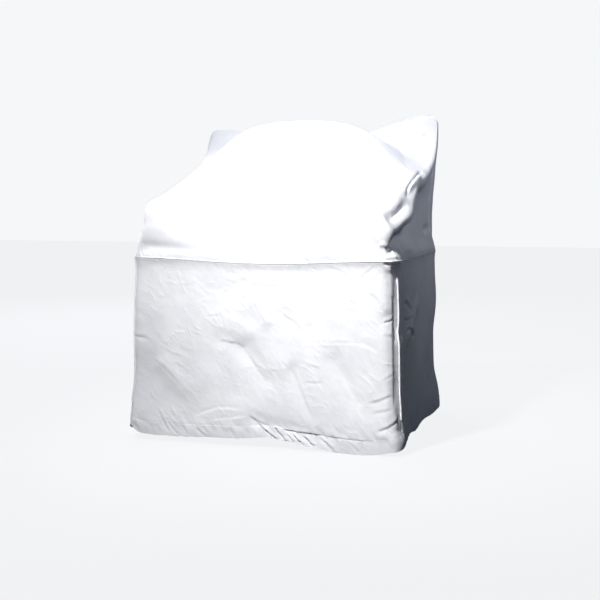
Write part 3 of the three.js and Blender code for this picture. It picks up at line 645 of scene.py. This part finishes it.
def seam_lines():
    """The seams between the panels, as lines on the unfolded cloth."""
    stations = np.linspace(0, BACK_HOOD_SEAM, 90)
    across = np.linspace(0, FAR_SIDE, 120)
    around = np.linspace(0, LEDGE_LENGTH, 400)
    heights = np.linspace(0, LEDGE_HEIGHT, 30)
    lines = [
        (smooth_hood(np.full_like(stations, LEFT_HOOD_SEAM), stations), SEAM_TUCK),
        (smooth_hood(np.full_like(stations, RIGHT_HOOD_SEAM), stations), SEAM_TUCK),
        (smooth_hood(across, np.full_like(across, BACK_HOOD_SEAM)), SEAM_TUCK),
        (smooth_skirt(around, np.full_like(around, LEDGE_HEIGHT)), LEDGE_ROLL),
        (smooth_skirt(around, np.full_like(around, HEM_WIDTH)), HEM_DENT),
    ]
    for distance in SKIRT_SEAMS:
        lines.append((smooth_skirt(np.full_like(heights, distance), heights), CORNER_TUCK))
    return lines


# Where the skirt's corner seams are round the ledge: front left, front right, back right and back left.
SKIRT_SEAMS = [ledge_distance(LEFT_SKIRT_SEAM), ledge_distance(RIGHT_SKIRT_SEAM)]
SKIRT_SEAMS += [ledge_distance(place, at_back=True) for place in (RIGHT_SKIRT_SEAM, LEFT_SKIRT_SEAM)]
SEAM_LINES = seam_lines()

# Gathers where the sewing draws the cloth in: the height of their band and how far they reach from it, then
# their size, their own height and their seed.
HEM_PUCKERS = (30, 26, 11, 1.5, 21)
LEDGE_PUCKERS = (LEDGE_HEIGHT, 22, 14, 1.0, 22)


def puckers(points):
    """The gathers along the hem, which lean, and those along the ledge, which stand upright."""
    x, y, z = points.T
    leaning = np.stack([x + 0.55 * z, y + 0.4 * z, np.zeros_like(z)], axis=-1)
    upright = np.stack([x, y, 0.1 * z], axis=-1)
    total = np.zeros(len(points))
    for places, (band, reach, size, height, seed) in ((leaning, HEM_PUCKERS), (upright, LEDGE_PUCKERS)):
        total += np.exp(-(((z - band) / reach) ** 2)) * soft_noise(places, size, seed) * height
    return total


# The unevenness of the cloth: the size, height and seed of its broad waves and of its fine ridges, which lie
# in patches. The ridges wander, and are drawn out along PULL: down and to the right on the front.
WAVES = ((210, 2.6, 31), (96, 0.9, 32))
RIDGES = ((46, 0.9, 38), (20, 0.45, 39))
RIDGE_PATCH_SIZE, LEAST_RIDGES = 150, 0.35
WANDER, WANDER_SIZE = 16, 60
PULL, DRAWN_OUT = np.array([0.62, 0.3, -0.72]), 0.55


def crumple(points):
    """The unevenness of a limp coated cloth: broad waves, and finer ridges that come and go."""
    broad = sum(soft_noise(points, size, seed) * height for size, height, seed in WAVES)
    patches = smooth(soft_noise(points, RIDGE_PATCH_SIZE, 33), -0.5, 0.6)
    warped = points + WANDER * np.stack([soft_noise(points, WANDER_SIZE, 34 + i) for i in range(3)], axis=-1)
    warped = warped - DRAWN_OUT * (warped @ PULL)[:, None] * PULL
    ridged = sum((0.5 - np.abs(soft_noise(warped, size, seed))) * height for size, height, seed in RIDGES)
    return broad + ridged * (LEAST_RIDGES + (1 - LEAST_RIDGES) * patches)


def fine_folds(points, normals):
    """How far all that the solids leave out moves the cloth."""
    total = crumple(points) * cling(points) + puckers(points)
    for line, left, right, turn, *fade in CREASES:
        rise = crease_rise(points, normals, crease_line(line), left, right, turn * TAUT_TURN, *fade)
        total += TAUT_HEIGHT * rise
    for line, left, right, turn, *fade in HOOD_CREASES:
        total += crease_rise(points, normals, crease_line(line), left, right, turn, *fade)
    for top, foot, depth in HEM_PLEATS:
        left, right = (depth, PLEAT_REACH[0]), (-depth, PLEAT_REACH[1])
        total += crease_rise(points, normals, crease_line([top, foot]), left, right, PLEAT_TURN, PLEAT_FADE)
    for line, left, right, turn in SKIRT_SCATTER + HOOD_SCATTER:
        total += crease_rise(points, normals, line, left, right, turn)
    for line, both_sides in SEAM_LINES:
        total += crease_rise(points, normals, line, both_sides, both_sides, 1, (0, 0))
    return total


def cling(points):
    """The share of the crumple that is left beside the ledge seam and the hem, where the cloth is held."""
    z = points[:, 2]
    return (1 - 0.6 * np.exp(-(((z - LEDGE_HEIGHT) / 16) ** 2))) * (1 - 0.4 * np.exp(-((z / 30) ** 2)))


def shaped(surface, u, v, fine=True):
    """Points of the cloth with all its folds, and the outward normals of the cloth without them."""
    points = surface(u, v)
    normals = outward(surface, u, v)
    rise = broad_folds(points)
    if fine:
        rise = rise + fine_folds(points, normals)
    moved = points + normals * rise[:, None]
    moved[:, 2] += ledge_sag(points)
    return moved, normals


ORIGIN = shaped(smooth_hood, np.array([MIDDLE]), np.array([float(MOUNT_STATION)]), fine=False)[0][0]
ORIGIN[0] = 0
ORIGIN[2] -= CLOTH_THICKNESS / 2 + MOUNT_CLEARANCE


def in_metres(points):
    """From the tables' millimetres to the row frame, in metres."""
    return (points - ORIGIN) * MM


def edged(low, high, count, at_low=(), at_high=()):
    """Even places from low to high, and more beside a seam, at these lengths in from either end."""
    even = np.linspace(low, high, count)
    half_gap = (high - low) / (count - 1) * 0.5
    clear_low, clear_high = (max(extra, default=0) + half_gap for extra in (at_low, at_high))
    keep = even[(even - low > clear_low) & (high - even > clear_high)]
    return np.unique(np.concatenate([[low, high], keep, low + np.array(at_low), high - np.array(at_high)]))


def grid_normals(grid):
    return unit(np.cross(np.gradient(grid, axis=1), np.gradient(grid, axis=0)))


def arc(grid, axis):
    """The length of cloth along a grid, from its middle row or column."""
    lengths = np.linalg.norm(np.diff(grid, axis=axis), axis=2)
    total = np.cumsum(lengths, axis=axis)
    total = np.insert(total, 0, 0, axis=axis)
    middle = np.take(total, [total.shape[axis] // 2], axis=axis)
    return total - middle


def placed(name, data):
    """A new object in the scene."""
    made = bpy.data.objects.new(name, data)
    bpy.context.scene.collection.objects.link(made)
    return made


def new_mesh(name, points, faces, material):
    """A mesh piece from points in the tables' millimetres."""
    mesh = bpy.data.meshes.new(name)
    mesh.from_pydata(in_metres(points).tolist(), [], faces)
    mesh.shade_smooth()
    mesh.set_sharp_from_angle(angle=math.radians(SHARP_ANGLE))
    mesh.materials.append(material)
    return placed(name, mesh)


def cloth_panel(name, surface, u_places, v_places, material):
    """One panel of the cover: a thin closed sheet with an outer face, an inner face and its cut edges."""
    u, v = np.meshgrid(u_places, v_places)
    rows, columns = u.shape
    middle = shaped(surface, u.ravel(), v.ravel())[0].reshape(rows, columns, 3)
    normals = grid_normals(middle)
    thick = np.full((rows, columns, 1), float(SHEET_THICKNESS))
    if surface is smooth_skirt:
        thick[v < HEM_WIDTH] += HEM_EXTRA
    outer = middle + normals * CLOTH_THICKNESS / 2
    inner = outer - normals * thick
    index = np.arange(rows * columns).reshape(rows, columns)
    far = rows * columns
    a, b, c, d = index[:-1, :-1], index[:-1, 1:], index[1:, 1:], index[1:, :-1]
    outer_faces = np.stack([a, b, c, d], axis=-1).reshape(-1, 4)
    rim = np.concatenate([index[0, :-1], index[:-1, -1], index[-1, :0:-1], index[:0:-1, 0]])
    ahead = np.roll(rim, -1)
    rim_faces = np.stack([ahead, rim, rim + far, ahead + far], axis=-1)
    faces = np.concatenate([outer_faces, outer_faces[:, ::-1] + far, rim_faces]).tolist()
    piece = new_mesh(name, np.concatenate([outer.reshape(-1, 3), inner.reshape(-1, 3)]), faces, material)
    across, along = arc(middle, 1) * MM, arc(middle, 0) * MM
    flat = np.tile(np.stack([across.ravel(), along.ravel()], axis=-1), (2, 1))
    loops = np.zeros(len(piece.data.loops), int)
    piece.data.loops.foreach_get("vertex_index", loops)
    piece.data.uv_layers.new(name="cut").data.foreach_set("uv", flat[loops].astype(np.float32).ravel())
    return piece


def ring_faces(ring, ahead):
    """The faces from each ring of points to the ring ahead of it."""
    faces = np.stack([ring, np.roll(ring, -1, axis=1), np.roll(ahead, -1, axis=1), ahead], axis=-1)
    return faces.reshape(-1, 4)


def tube(name, path, outs, radius, closed, material):
    """A round welt along a path, outs being the outward directions there."""
    if closed:
        along = np.roll(path, -1, axis=0) - np.roll(path, 1, axis=0)
    else:
        along = np.gradient(path, axis=0)
    along = unit(along)
    across = unit(np.cross(along, outs))
    up = np.cross(across, along)
    turns = (np.arange(WELT_SIDES) / WELT_SIDES * TAU)[None, :, None]
    rings = path[:, None] + radius * (np.cos(turns) * across[:, None] + np.sin(turns) * up[:, None])
    count = len(path)
    index = np.arange(count * WELT_SIDES).reshape(count, WELT_SIDES)
    last = count if closed else count - 1
    faces = ring_faces(index[:last], index[(np.arange(last) + 1) % count]).tolist()
    if not closed:
        faces += [index[0, ::-1].tolist(), index[-1].tolist()]
    return new_mesh(name, rings.reshape(-1, 3), faces, material)


def ledge_welt(material):
    """The welt that runs all round the ledge, outside the seam of the skirt and the hood."""
    around = np.linspace(0, LEDGE_LENGTH, 560, endpoint=False)
    level = np.full_like(around, LEDGE_HEIGHT)
    path = shaped(smooth_skirt, around, level)[0]
    outs = unit(outward(smooth_skirt, around, level - UNDER_LEDGE) * (1, 1, 0))
    path = path + outs * (CLOTH_THICKNESS / 2 + WELT_RADIUS - WELT_SUNK)
    return tube("ledge_welt_piping", path, outs, WELT_RADIUS, True, material)


def corner_welt(name, distance, material):
    """The welt down a front corner of the skirt."""
    heights = np.linspace(CORNER_WELT_FOOT, LEDGE_HEIGHT - WELT_RADIUS, 100)
    places = np.full_like(heights, distance)
    path, outs = shaped(smooth_skirt, places, heights)
    path = path + outs * (CLOTH_THICKNESS / 2 + CORNER_WELT_RADIUS - CORNER_WELT_SUNK)
    return tube(name, path, outs, CORNER_WELT_RADIUS, False, material)


def along_line(at, length, values):
    """Points or directions at these distances along a line."""
    return np.stack([np.interp(at, length, values[:, i]) for i in range(3)], axis=-1)


def stitch_row(surface, u, v):
    """The centres, directions and normals of a row of stitches, from a line of places on the cloth."""
    points, normals = shaped(surface, u, v)
    points = points + normals * (CLOTH_THICKNESS / 2)
    length = np.concatenate([[0], np.cumsum(np.linalg.norm(np.diff(points, axis=0), axis=1))])
    at = np.arange(STITCH_PITCH / 2, length[-1], STITCH_PITCH)
    behind, centre, ahead = (along_line(at + step, length, points) for step in (-1, 0, 1))
    return centre, unit(ahead - behind), unit(along_line(at, length, normals))


# The rings of one stitch: how far each lies along its half length, its lift and its share of the thickness.
STITCH_RINGS = ((-1, -0.35, 0.35), (-0.45, 0.12, 1.0), (0.45, 0.12, 1.0), (1, -0.35, 0.35))


def stitches(name, rows, material):
    """Rows of lockstitches as one mesh: each shows as a short length of thread that dips into the cloth."""
    centres, alongs, normals = (np.concatenate(parts) for parts in zip(*rows))
    across = unit(np.cross(normals, alongs))
    ups = np.cross(alongs, across)
    points = []
    for forward, lift, share in STITCH_RINGS:
        middle = centres + alongs * (forward * STITCH_LENGTH / 2) + ups * lift
        for turn in np.arange(STITCH_SIDES) / STITCH_SIDES * TAU:
            points.append(middle + STITCH_RADIUS * share * (math.cos(turn) * across + math.sin(turn) * ups))
    points = np.stack(points, axis=1)
    index = np.arange(len(STITCH_RINGS) * STITCH_SIDES).reshape(len(STITCH_RINGS), STITCH_SIDES)
    ends = np.array([index[0, ::-1], index[-1]])
    first = np.arange(len(centres))[:, None, None] * index.size
    sides = ring_faces(index[:-1], index[1:]) + first
    faces = sides.reshape(-1, 4).tolist() + (ends + first).reshape(-1, STITCH_SIDES).tolist()
    return new_mesh(name, points.reshape(-1, 3), faces, material)


def linear(hex_colour):
    """An sRGB hex colour as linear red, green, blue and alpha."""
    parts = [int(hex_colour[i:i + 2], 16) / 255 for i in (1, 3, 5)]
    return [p / 12.92 if p <= 0.04045 else ((p + 0.055) / 1.055) ** 2.4 for p in parts] + [1]


def add(tree, kind, inputs=None, **settings):
    """One shader node of this kind, with its settings, and its inputs set to values or linked to sockets."""
    node = tree.nodes.new("ShaderNode" + kind)
    for name, value in settings.items():
        setattr(node, name, value)
    for name, value in (inputs or {}).items():
        socket = node.inputs[name]
        if isinstance(value, bpy.types.NodeSocket):
            tree.links.new(value, socket)
        else:
            socket.default_value = value
    return node


def blank(name):
    """A new material with an empty node tree."""
    material = bpy.data.materials.new(name)
    material.use_nodes = True
    material.node_tree.nodes.clear()
    return material, material.node_tree


def scale_of(size):
    """The texture scale that makes a feature this many millimetres long."""
    return 1 / (size * MM)


THREAD_SPACING = 5.2
WEAVE_HEIGHT = 0.4
SOIL_SIZE = 140

# Fine wrinkles of the coated cloth: their size, how many times longer than wide they are, their height, the
# size of the patches in which they lie, and the slant in which most of them run.
WRINKLE_SIZE = 40
WRINKLE_STRETCH = 1.7
WRINKLE_HEIGHT = 0.7
PATCH_SIZE = 130
PULL_ANGLE = -48


def coated_canvas(name, light, dull, roughness):
    """Coated polyester canvas: plain woven, dyed white, with an acrylic coat that half fills the weave, gives
    a soft, even sheen and keeps fine wrinkles. The real threads are 0.5 mm apart, too fine to show, so the
    weave is drawn at 5.2 mm and its slubs at 4 mm."""
    material, tree = blank(name)
    cut = add(tree, "UVMap", uv_map="cut").outputs["UV"]
    space = add(tree, "TexCoord").outputs["Object"]

    # A wave texture of scale 1 has 20 radians in a unit.
    thread_scale = scale_of(THREAD_SPACING) / 20 * TAU
    threads = [
        add(tree, "TexWave", {
            "Vector": cut, "Scale": thread_scale, "Distortion": 0.6, "Detail": 1, "Detail Scale": 2,
        }, bands_direction=direction).outputs["Fac"]
        for direction in ("X", "Y")
    ]
    weave = add(tree, "Math", {0: threads[0], 1: threads[1]}, operation="MAXIMUM").outputs[0]
    slub = add(tree, "TexNoise", {"Vector": cut, "Scale": 260, "Detail": 3}).outputs["Fac"]
    grain = add(tree, "Math", {0: weave, 1: slub}, operation="ADD").outputs[0]
    rough = add(tree, "MapRange", {
        "Value": grain, "From Min": 0.3, "From Max": 1.6, "To Min": roughness - 0.06,
        "To Max": roughness + 0.08})

    soil = add(tree, "TexNoise", {
        "Vector": space, "Scale": scale_of(SOIL_SIZE), "Detail": 5, "Roughness": 0.6})
    spread = add(tree, "MapRange", {"Value": soil.outputs["Fac"], "From Min": 0.42, "From Max": 0.72})
    colour = add(tree, "Mix", {"Factor": spread.outputs["Result"], 6: linear(light), 7: linear(dull)},
                 data_type="RGBA")

    patches = add(tree, "TexNoise", {"Vector": cut, "Scale": scale_of(PATCH_SIZE), "Detail": 2})
    where = add(tree, "MapRange", {
        "Value": patches.outputs["Fac"], "From Min": 0.38, "From Max": 0.66, "To Min": 0.15})
    pulled = add(tree, "Mapping", {
        "Vector": cut, "Rotation": (0, 0, math.radians(PULL_ANGLE)), "Scale": (WRINKLE_STRETCH, 1, 1),
    }, vector_type="TEXTURE")
    wrinkles = add(tree, "TexNoise", {
        "Vector": pulled.outputs["Vector"], "Scale": scale_of(WRINKLE_SIZE), "Detail": 4, "Roughness": 0.68,
        "Lacunarity": 2.1, "Offset": 0.9, "Gain": 1.4, "Distortion": 0.35}, noise_type="RIDGED_MULTIFRACTAL")
    raised = add(tree, "Math", {0: wrinkles.outputs["Fac"], 1: where.outputs["Result"]}, operation="MULTIPLY")
    creased = add(tree, "Bump", {"Height": raised.outputs[0], "Strength": 1, "Distance": WRINKLE_HEIGHT * MM})
    bump = add(tree, "Bump", {
        "Height": grain, "Strength": 0.12, "Distance": WEAVE_HEIGHT * MM,
        "Normal": creased.outputs["Normal"]})
    shader = add(tree, "BsdfPrincipled", {
        "Base Color": colour.outputs[2], "Roughness": rough.outputs["Result"],
        "Normal": bump.outputs["Normal"], "IOR": 1.46, "Sheen Weight": 0.12, "Sheen Roughness": 0.5})
    add(tree, "OutputMaterial", {"Surface": shader.outputs[0]})
    return material


def spun_thread(name, colour):
    """Bonded polyester sewing thread: smooth, with the faint slant of its three plies, about 1 mm apart."""
    material, tree = blank(name)
    space = add(tree, "TexCoord").outputs["Object"]
    plies = add(tree, "TexNoise", {"Vector": space, "Scale": 900, "Detail": 2}).outputs["Fac"]
    bump = add(tree, "Bump", {"Height": plies, "Strength": 0.3, "Distance": 0.0002})
    tone = add(tree, "MapRange", {"Value": plies, "To Min": 0.5, "To Max": 0.62})
    shader = add(tree, "BsdfPrincipled", {
        "Base Color": linear(colour), "Roughness": tone.outputs["Result"], "Normal": bump.outputs["Normal"],
        "IOR": 1.5})
    add(tree, "OutputMaterial", {"Surface": shader.outputs[0]})
    return material


hood_canvas = coated_canvas("hood_coated_canvas", "#EFF0F3", "#E4E6EB", 0.6)
skirt_canvas = coated_canvas("skirt_coated_canvas", "#F2F3F5", "#E5E7EB", 0.6)
welt_canvas = coated_canvas("welt_coated_canvas", "#F6F7F9", "#ECEEF2", 0.55)
thread = spun_thread("bonded_polyester_thread", "#E6E8EC")

# How far in from a panel's edge the extra rows lie, in places across the hood, stations and millimetres.
NEAR_ACROSS = (0.016, 0.035, 0.06)
NEAR_STATION = (0.012, 0.026, 0.045)
NEAR_SKIRT = (1.2, 2.6, 5)
NEAR_FLOOR = (1.5,)

# From this place across the crown to the right its grid is finer, for the ear and the fold.
FINE_FROM = 13


def hood_panel(name, across, stations):
    return cloth_panel(name, smooth_hood, across, stations, hood_canvas)


def skirt_panel(name, start, end, count, rows):
    around = edged(start, end, count, NEAR_SKIRT, NEAR_SKIRT)
    hem = edged(0, HEM_WIDTH, 13, NEAR_FLOOR, NEAR_SKIRT)
    wall = edged(HEM_WIDTH, LEDGE_HEIGHT, rows, NEAR_SKIRT, NEAR_SKIRT)
    return cloth_panel(name, smooth_skirt, around, np.unique(np.concatenate([hem, wall])), skirt_canvas)


crown_across = np.unique(np.concatenate([
    edged(LEFT_HOOD_SEAM, FINE_FROM, 76, NEAR_ACROSS),
    edged(FINE_FROM, RIGHT_HOOD_SEAM, 118, (), NEAR_ACROSS),
]))
side_stations = edged(0, BACK_HOOD_SEAM, 150, NEAR_STATION, NEAR_STATION)
back_stations = edged(BACK_HOOD_SEAM, FAR_STATION, 90, NEAR_STATION, NEAR_STATION)
crown = hood_panel("crown_cloth", crown_across, edged(0, BACK_HOOD_SEAM, 212, NEAR_STATION, NEAR_STATION))
hood_left = hood_panel("hood_left_cloth", edged(0, LEFT_HOOD_SEAM, 90, (), NEAR_ACROSS), side_stations)
hood_right = hood_panel("hood_right_cloth", edged(RIGHT_HOOD_SEAM, FAR_SIDE, 104, NEAR_ACROSS), side_stations)
hood_back = hood_panel("hood_back_cloth", edged(0, FAR_SIDE, 190), back_stations)

front_left, front_right, back_right, back_left = SKIRT_SEAMS
skirt_front = skirt_panel("skirt_front_cloth", front_left, front_right, 236, 140)
skirt_right = skirt_panel("skirt_right_cloth", front_right, back_right, 160, 110)
skirt_back = skirt_panel("skirt_back_cloth", back_right, back_left, 150, 90)
skirt_left = skirt_panel("skirt_left_cloth", back_left, front_left + LEDGE_LENGTH, 130, 96)

ledge_piping = ledge_welt(welt_canvas)
right_piping = corner_welt("corner_welt_right_piping", front_right, welt_canvas)
left_piping = corner_welt("corner_welt_left_piping", front_left, welt_canvas)

along_hood = np.linspace(0.15, BACK_HOOD_SEAM - 0.1, 400)
across_back = np.linspace(0.4, FAR_SIDE - 0.4, 500)
round_ledge = np.linspace(0, LEDGE_LENGTH, 1400)
# How far beside the seams the hood is stitched, in places across it and in stations.
IN_ACROSS, IN_STATION = 0.1, 0.075
hood_stitching = stitches("hood_topstitching", [
    stitch_row(smooth_hood, np.full_like(along_hood, LEFT_HOOD_SEAM + IN_ACROSS), along_hood),
    stitch_row(smooth_hood, np.full_like(along_hood, RIGHT_HOOD_SEAM - IN_ACROSS), along_hood),
    stitch_row(smooth_hood, across_back, np.full_like(across_back, BACK_HOOD_SEAM + IN_STATION)),
], thread)
skirt_stitching = stitches("skirt_topstitching", [
    stitch_row(smooth_skirt, round_ledge, np.full_like(round_ledge, LEDGE_HEIGHT - TOPSTITCH_IN)),
    stitch_row(smooth_skirt, round_ledge, np.full_like(round_ledge, HEM_WIDTH - HEM_STITCH_IN)),
], thread)

# Each cloth with its solid, slot, flat size and area as cut, and the thread on it, in metres. The cut has
# 12 mm for each sewn edge and 42 mm for the turned hem.
CLOTHS = [
    (crown, "crown", "hood_cloth", (1.08, 1.08), 0.98, [hood_stitching]),
    (hood_left, "hood_left", "hood_cloth", (1.01, 0.5), 0.23, []),
    (hood_right, "hood_right", "hood_cloth", (0.98, 0.48), 0.15, []),
    (hood_back, "hood_back", "hood_cloth", (1.0, 0.53), 0.485, []),
    (skirt_front, "skirt_front", "skirt_cloth", (1.03, 0.67), 0.64, [skirt_stitching]),
    (skirt_right, "skirt_right", "skirt_cloth", (0.74, 0.66), 0.455, []),
    (skirt_back, "skirt_back", "skirt_cloth", (1.02, 0.66), 0.64, []),
    (skirt_left, "skirt_left", "skirt_cloth", (0.77, 0.66), 0.475, []),
]


def sewn(piece, slot, *nodes):
    """A piece of the cover, standing for its solid where there is one. Its slot is not used."""
    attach(piece, "root")
    if nodes:
        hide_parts(*nodes)


for piece, node, slot, flat, area, threads in CLOTHS:
    sewn(piece, slot, node)
sewn(ledge_piping, "welt", "ledge_welt")
sewn(right_piping, "welt", "corner_welt_right")
sewn(left_piping, "welt", "corner_welt_left")
sewn(hood_stitching, "welt")
sewn(skirt_stitching, "welt")


def pale_floor(name):
    """A matt white studio floor. The light that it throws back on the cloth is held low."""
    material, tree = blank(name)
    dull = add(tree, "BsdfDiffuse", {"Color": linear("#F2F3F5")})
    glow = add(tree, "Emission", {"Color": linear("#F6F7F9"), "Strength": 1.0})
    shown = add(tree, "MixShader", {"Fac": 0.94, 1: dull.outputs[0], 2: glow.outputs[0]})
    thrown = add(tree, "BsdfDiffuse", {"Color": linear("#383D48")})
    camera_ray = add(tree, "LightPath").outputs["Is Camera Ray"]
    both = add(tree, "MixShader", {"Fac": camera_ray, 1: thrown.outputs[0], 2: shown.outputs[0]})
    add(tree, "OutputMaterial", {"Surface": both.outputs[0]})
    return material


def floor(half=14):
    """A square floor under the cover, this many metres out from its middle."""
    corners = [(x * half, y * half, cad_low.z) for x, y in ((-1, -1), (1, -1), (1, 1), (-1, 1))]
    mesh = bpy.data.meshes.new("floor")
    mesh.from_pydata(corners, [], [(0, 1, 2, 3)])
    mesh.materials.append(pale_floor("pale_floor"))
    placed("floor", mesh)


def studio_sky():
    """A weak cool sky that fills the shades, with a pale background where the camera sees it."""
    world = bpy.data.worlds.new("studio_sky")
    world.use_nodes = True
    tree = world.node_tree
    tree.nodes.clear()
    sky = add(tree, "Background", {"Color": linear("#AFB7C9"), "Strength": 0.12})
    behind = add(tree, "Background", {"Color": linear("#F6F7F9"), "Strength": 1.0})
    camera_ray = add(tree, "LightPath").outputs["Is Camera Ray"]
    both = add(tree, "MixShader", {"Fac": camera_ray, 1: sky.outputs[0], 2: behind.outputs[0]})
    add(tree, "OutputWorld", {"Surface": both.outputs[0]})
    bpy.context.scene.world = world


# A key light from the front left, a weak one that grazes the right side, a soft one over the hood and a low
# one for the back: place and aim in metres, size, spread in degrees, power in watts and colour.
LAMPS = {
    "key": ((-0.65, -2.55, 2.2), (0.19, -0.42, -0.53), 0.35, 42, 13.7, "#FEFDFD"),
    "side": ((2.2, -1.0, 1.6), (0.45, 0.0, 0.25), 0.6, 45, 2.0, "#E6EAF6"),
    "top": ((-0.5, 0.1, 2.8), (0.0, 0.1, -0.2), 1.0, 120, 12, "#F6F8FF"),
    "back": ((-2.4, 3.4, 1.6), (0.0, 0.2, -0.4), 1.6, 180, 120, "#EEF3FF"),
}


def lamps():
    for name, (place, aim, size, spread, power, colour) in LAMPS.items():
        light = bpy.data.lights.new(name, "AREA")
        light.shape, light.size, light.spread = "DISK", size, math.radians(spread)
        light.energy, light.color = power, linear(colour)[:3]
        lamp = placed(name, light)
        lamp.location = place
        lamp.rotation_euler = (Vector(aim) - Vector(place)).to_track_quat("-Z", "Y").to_euler()


# The photograph's view: its lens and sensor, the camera's place in the tables' frame, and its turn to the
# left and down in degrees.
LENS, SENSOR = 64.13, 36
CAMERA_PLACE = (1121.8, -3327.5, 808.3)
CAMERA_LEFT, CAMERA_DOWN = 16.56, 5.58


def camera():
    """From the front and right, at the height of the hood, looking a little down."""
    data = bpy.data.cameras.new("camera")
    data.lens, data.sensor_width = LENS, SENSOR
    view = placed("camera", data)
    view.location = in_metres(np.array(CAMERA_PLACE))
    view.rotation_euler = (math.radians(90 - CAMERA_DOWN), 0, math.radians(CAMERA_LEFT))
    bpy.context.scene.camera = view


floor()
studio_sky()
lamps()
camera()
bpy.context.scene.view_settings.view_transform = "Standard"
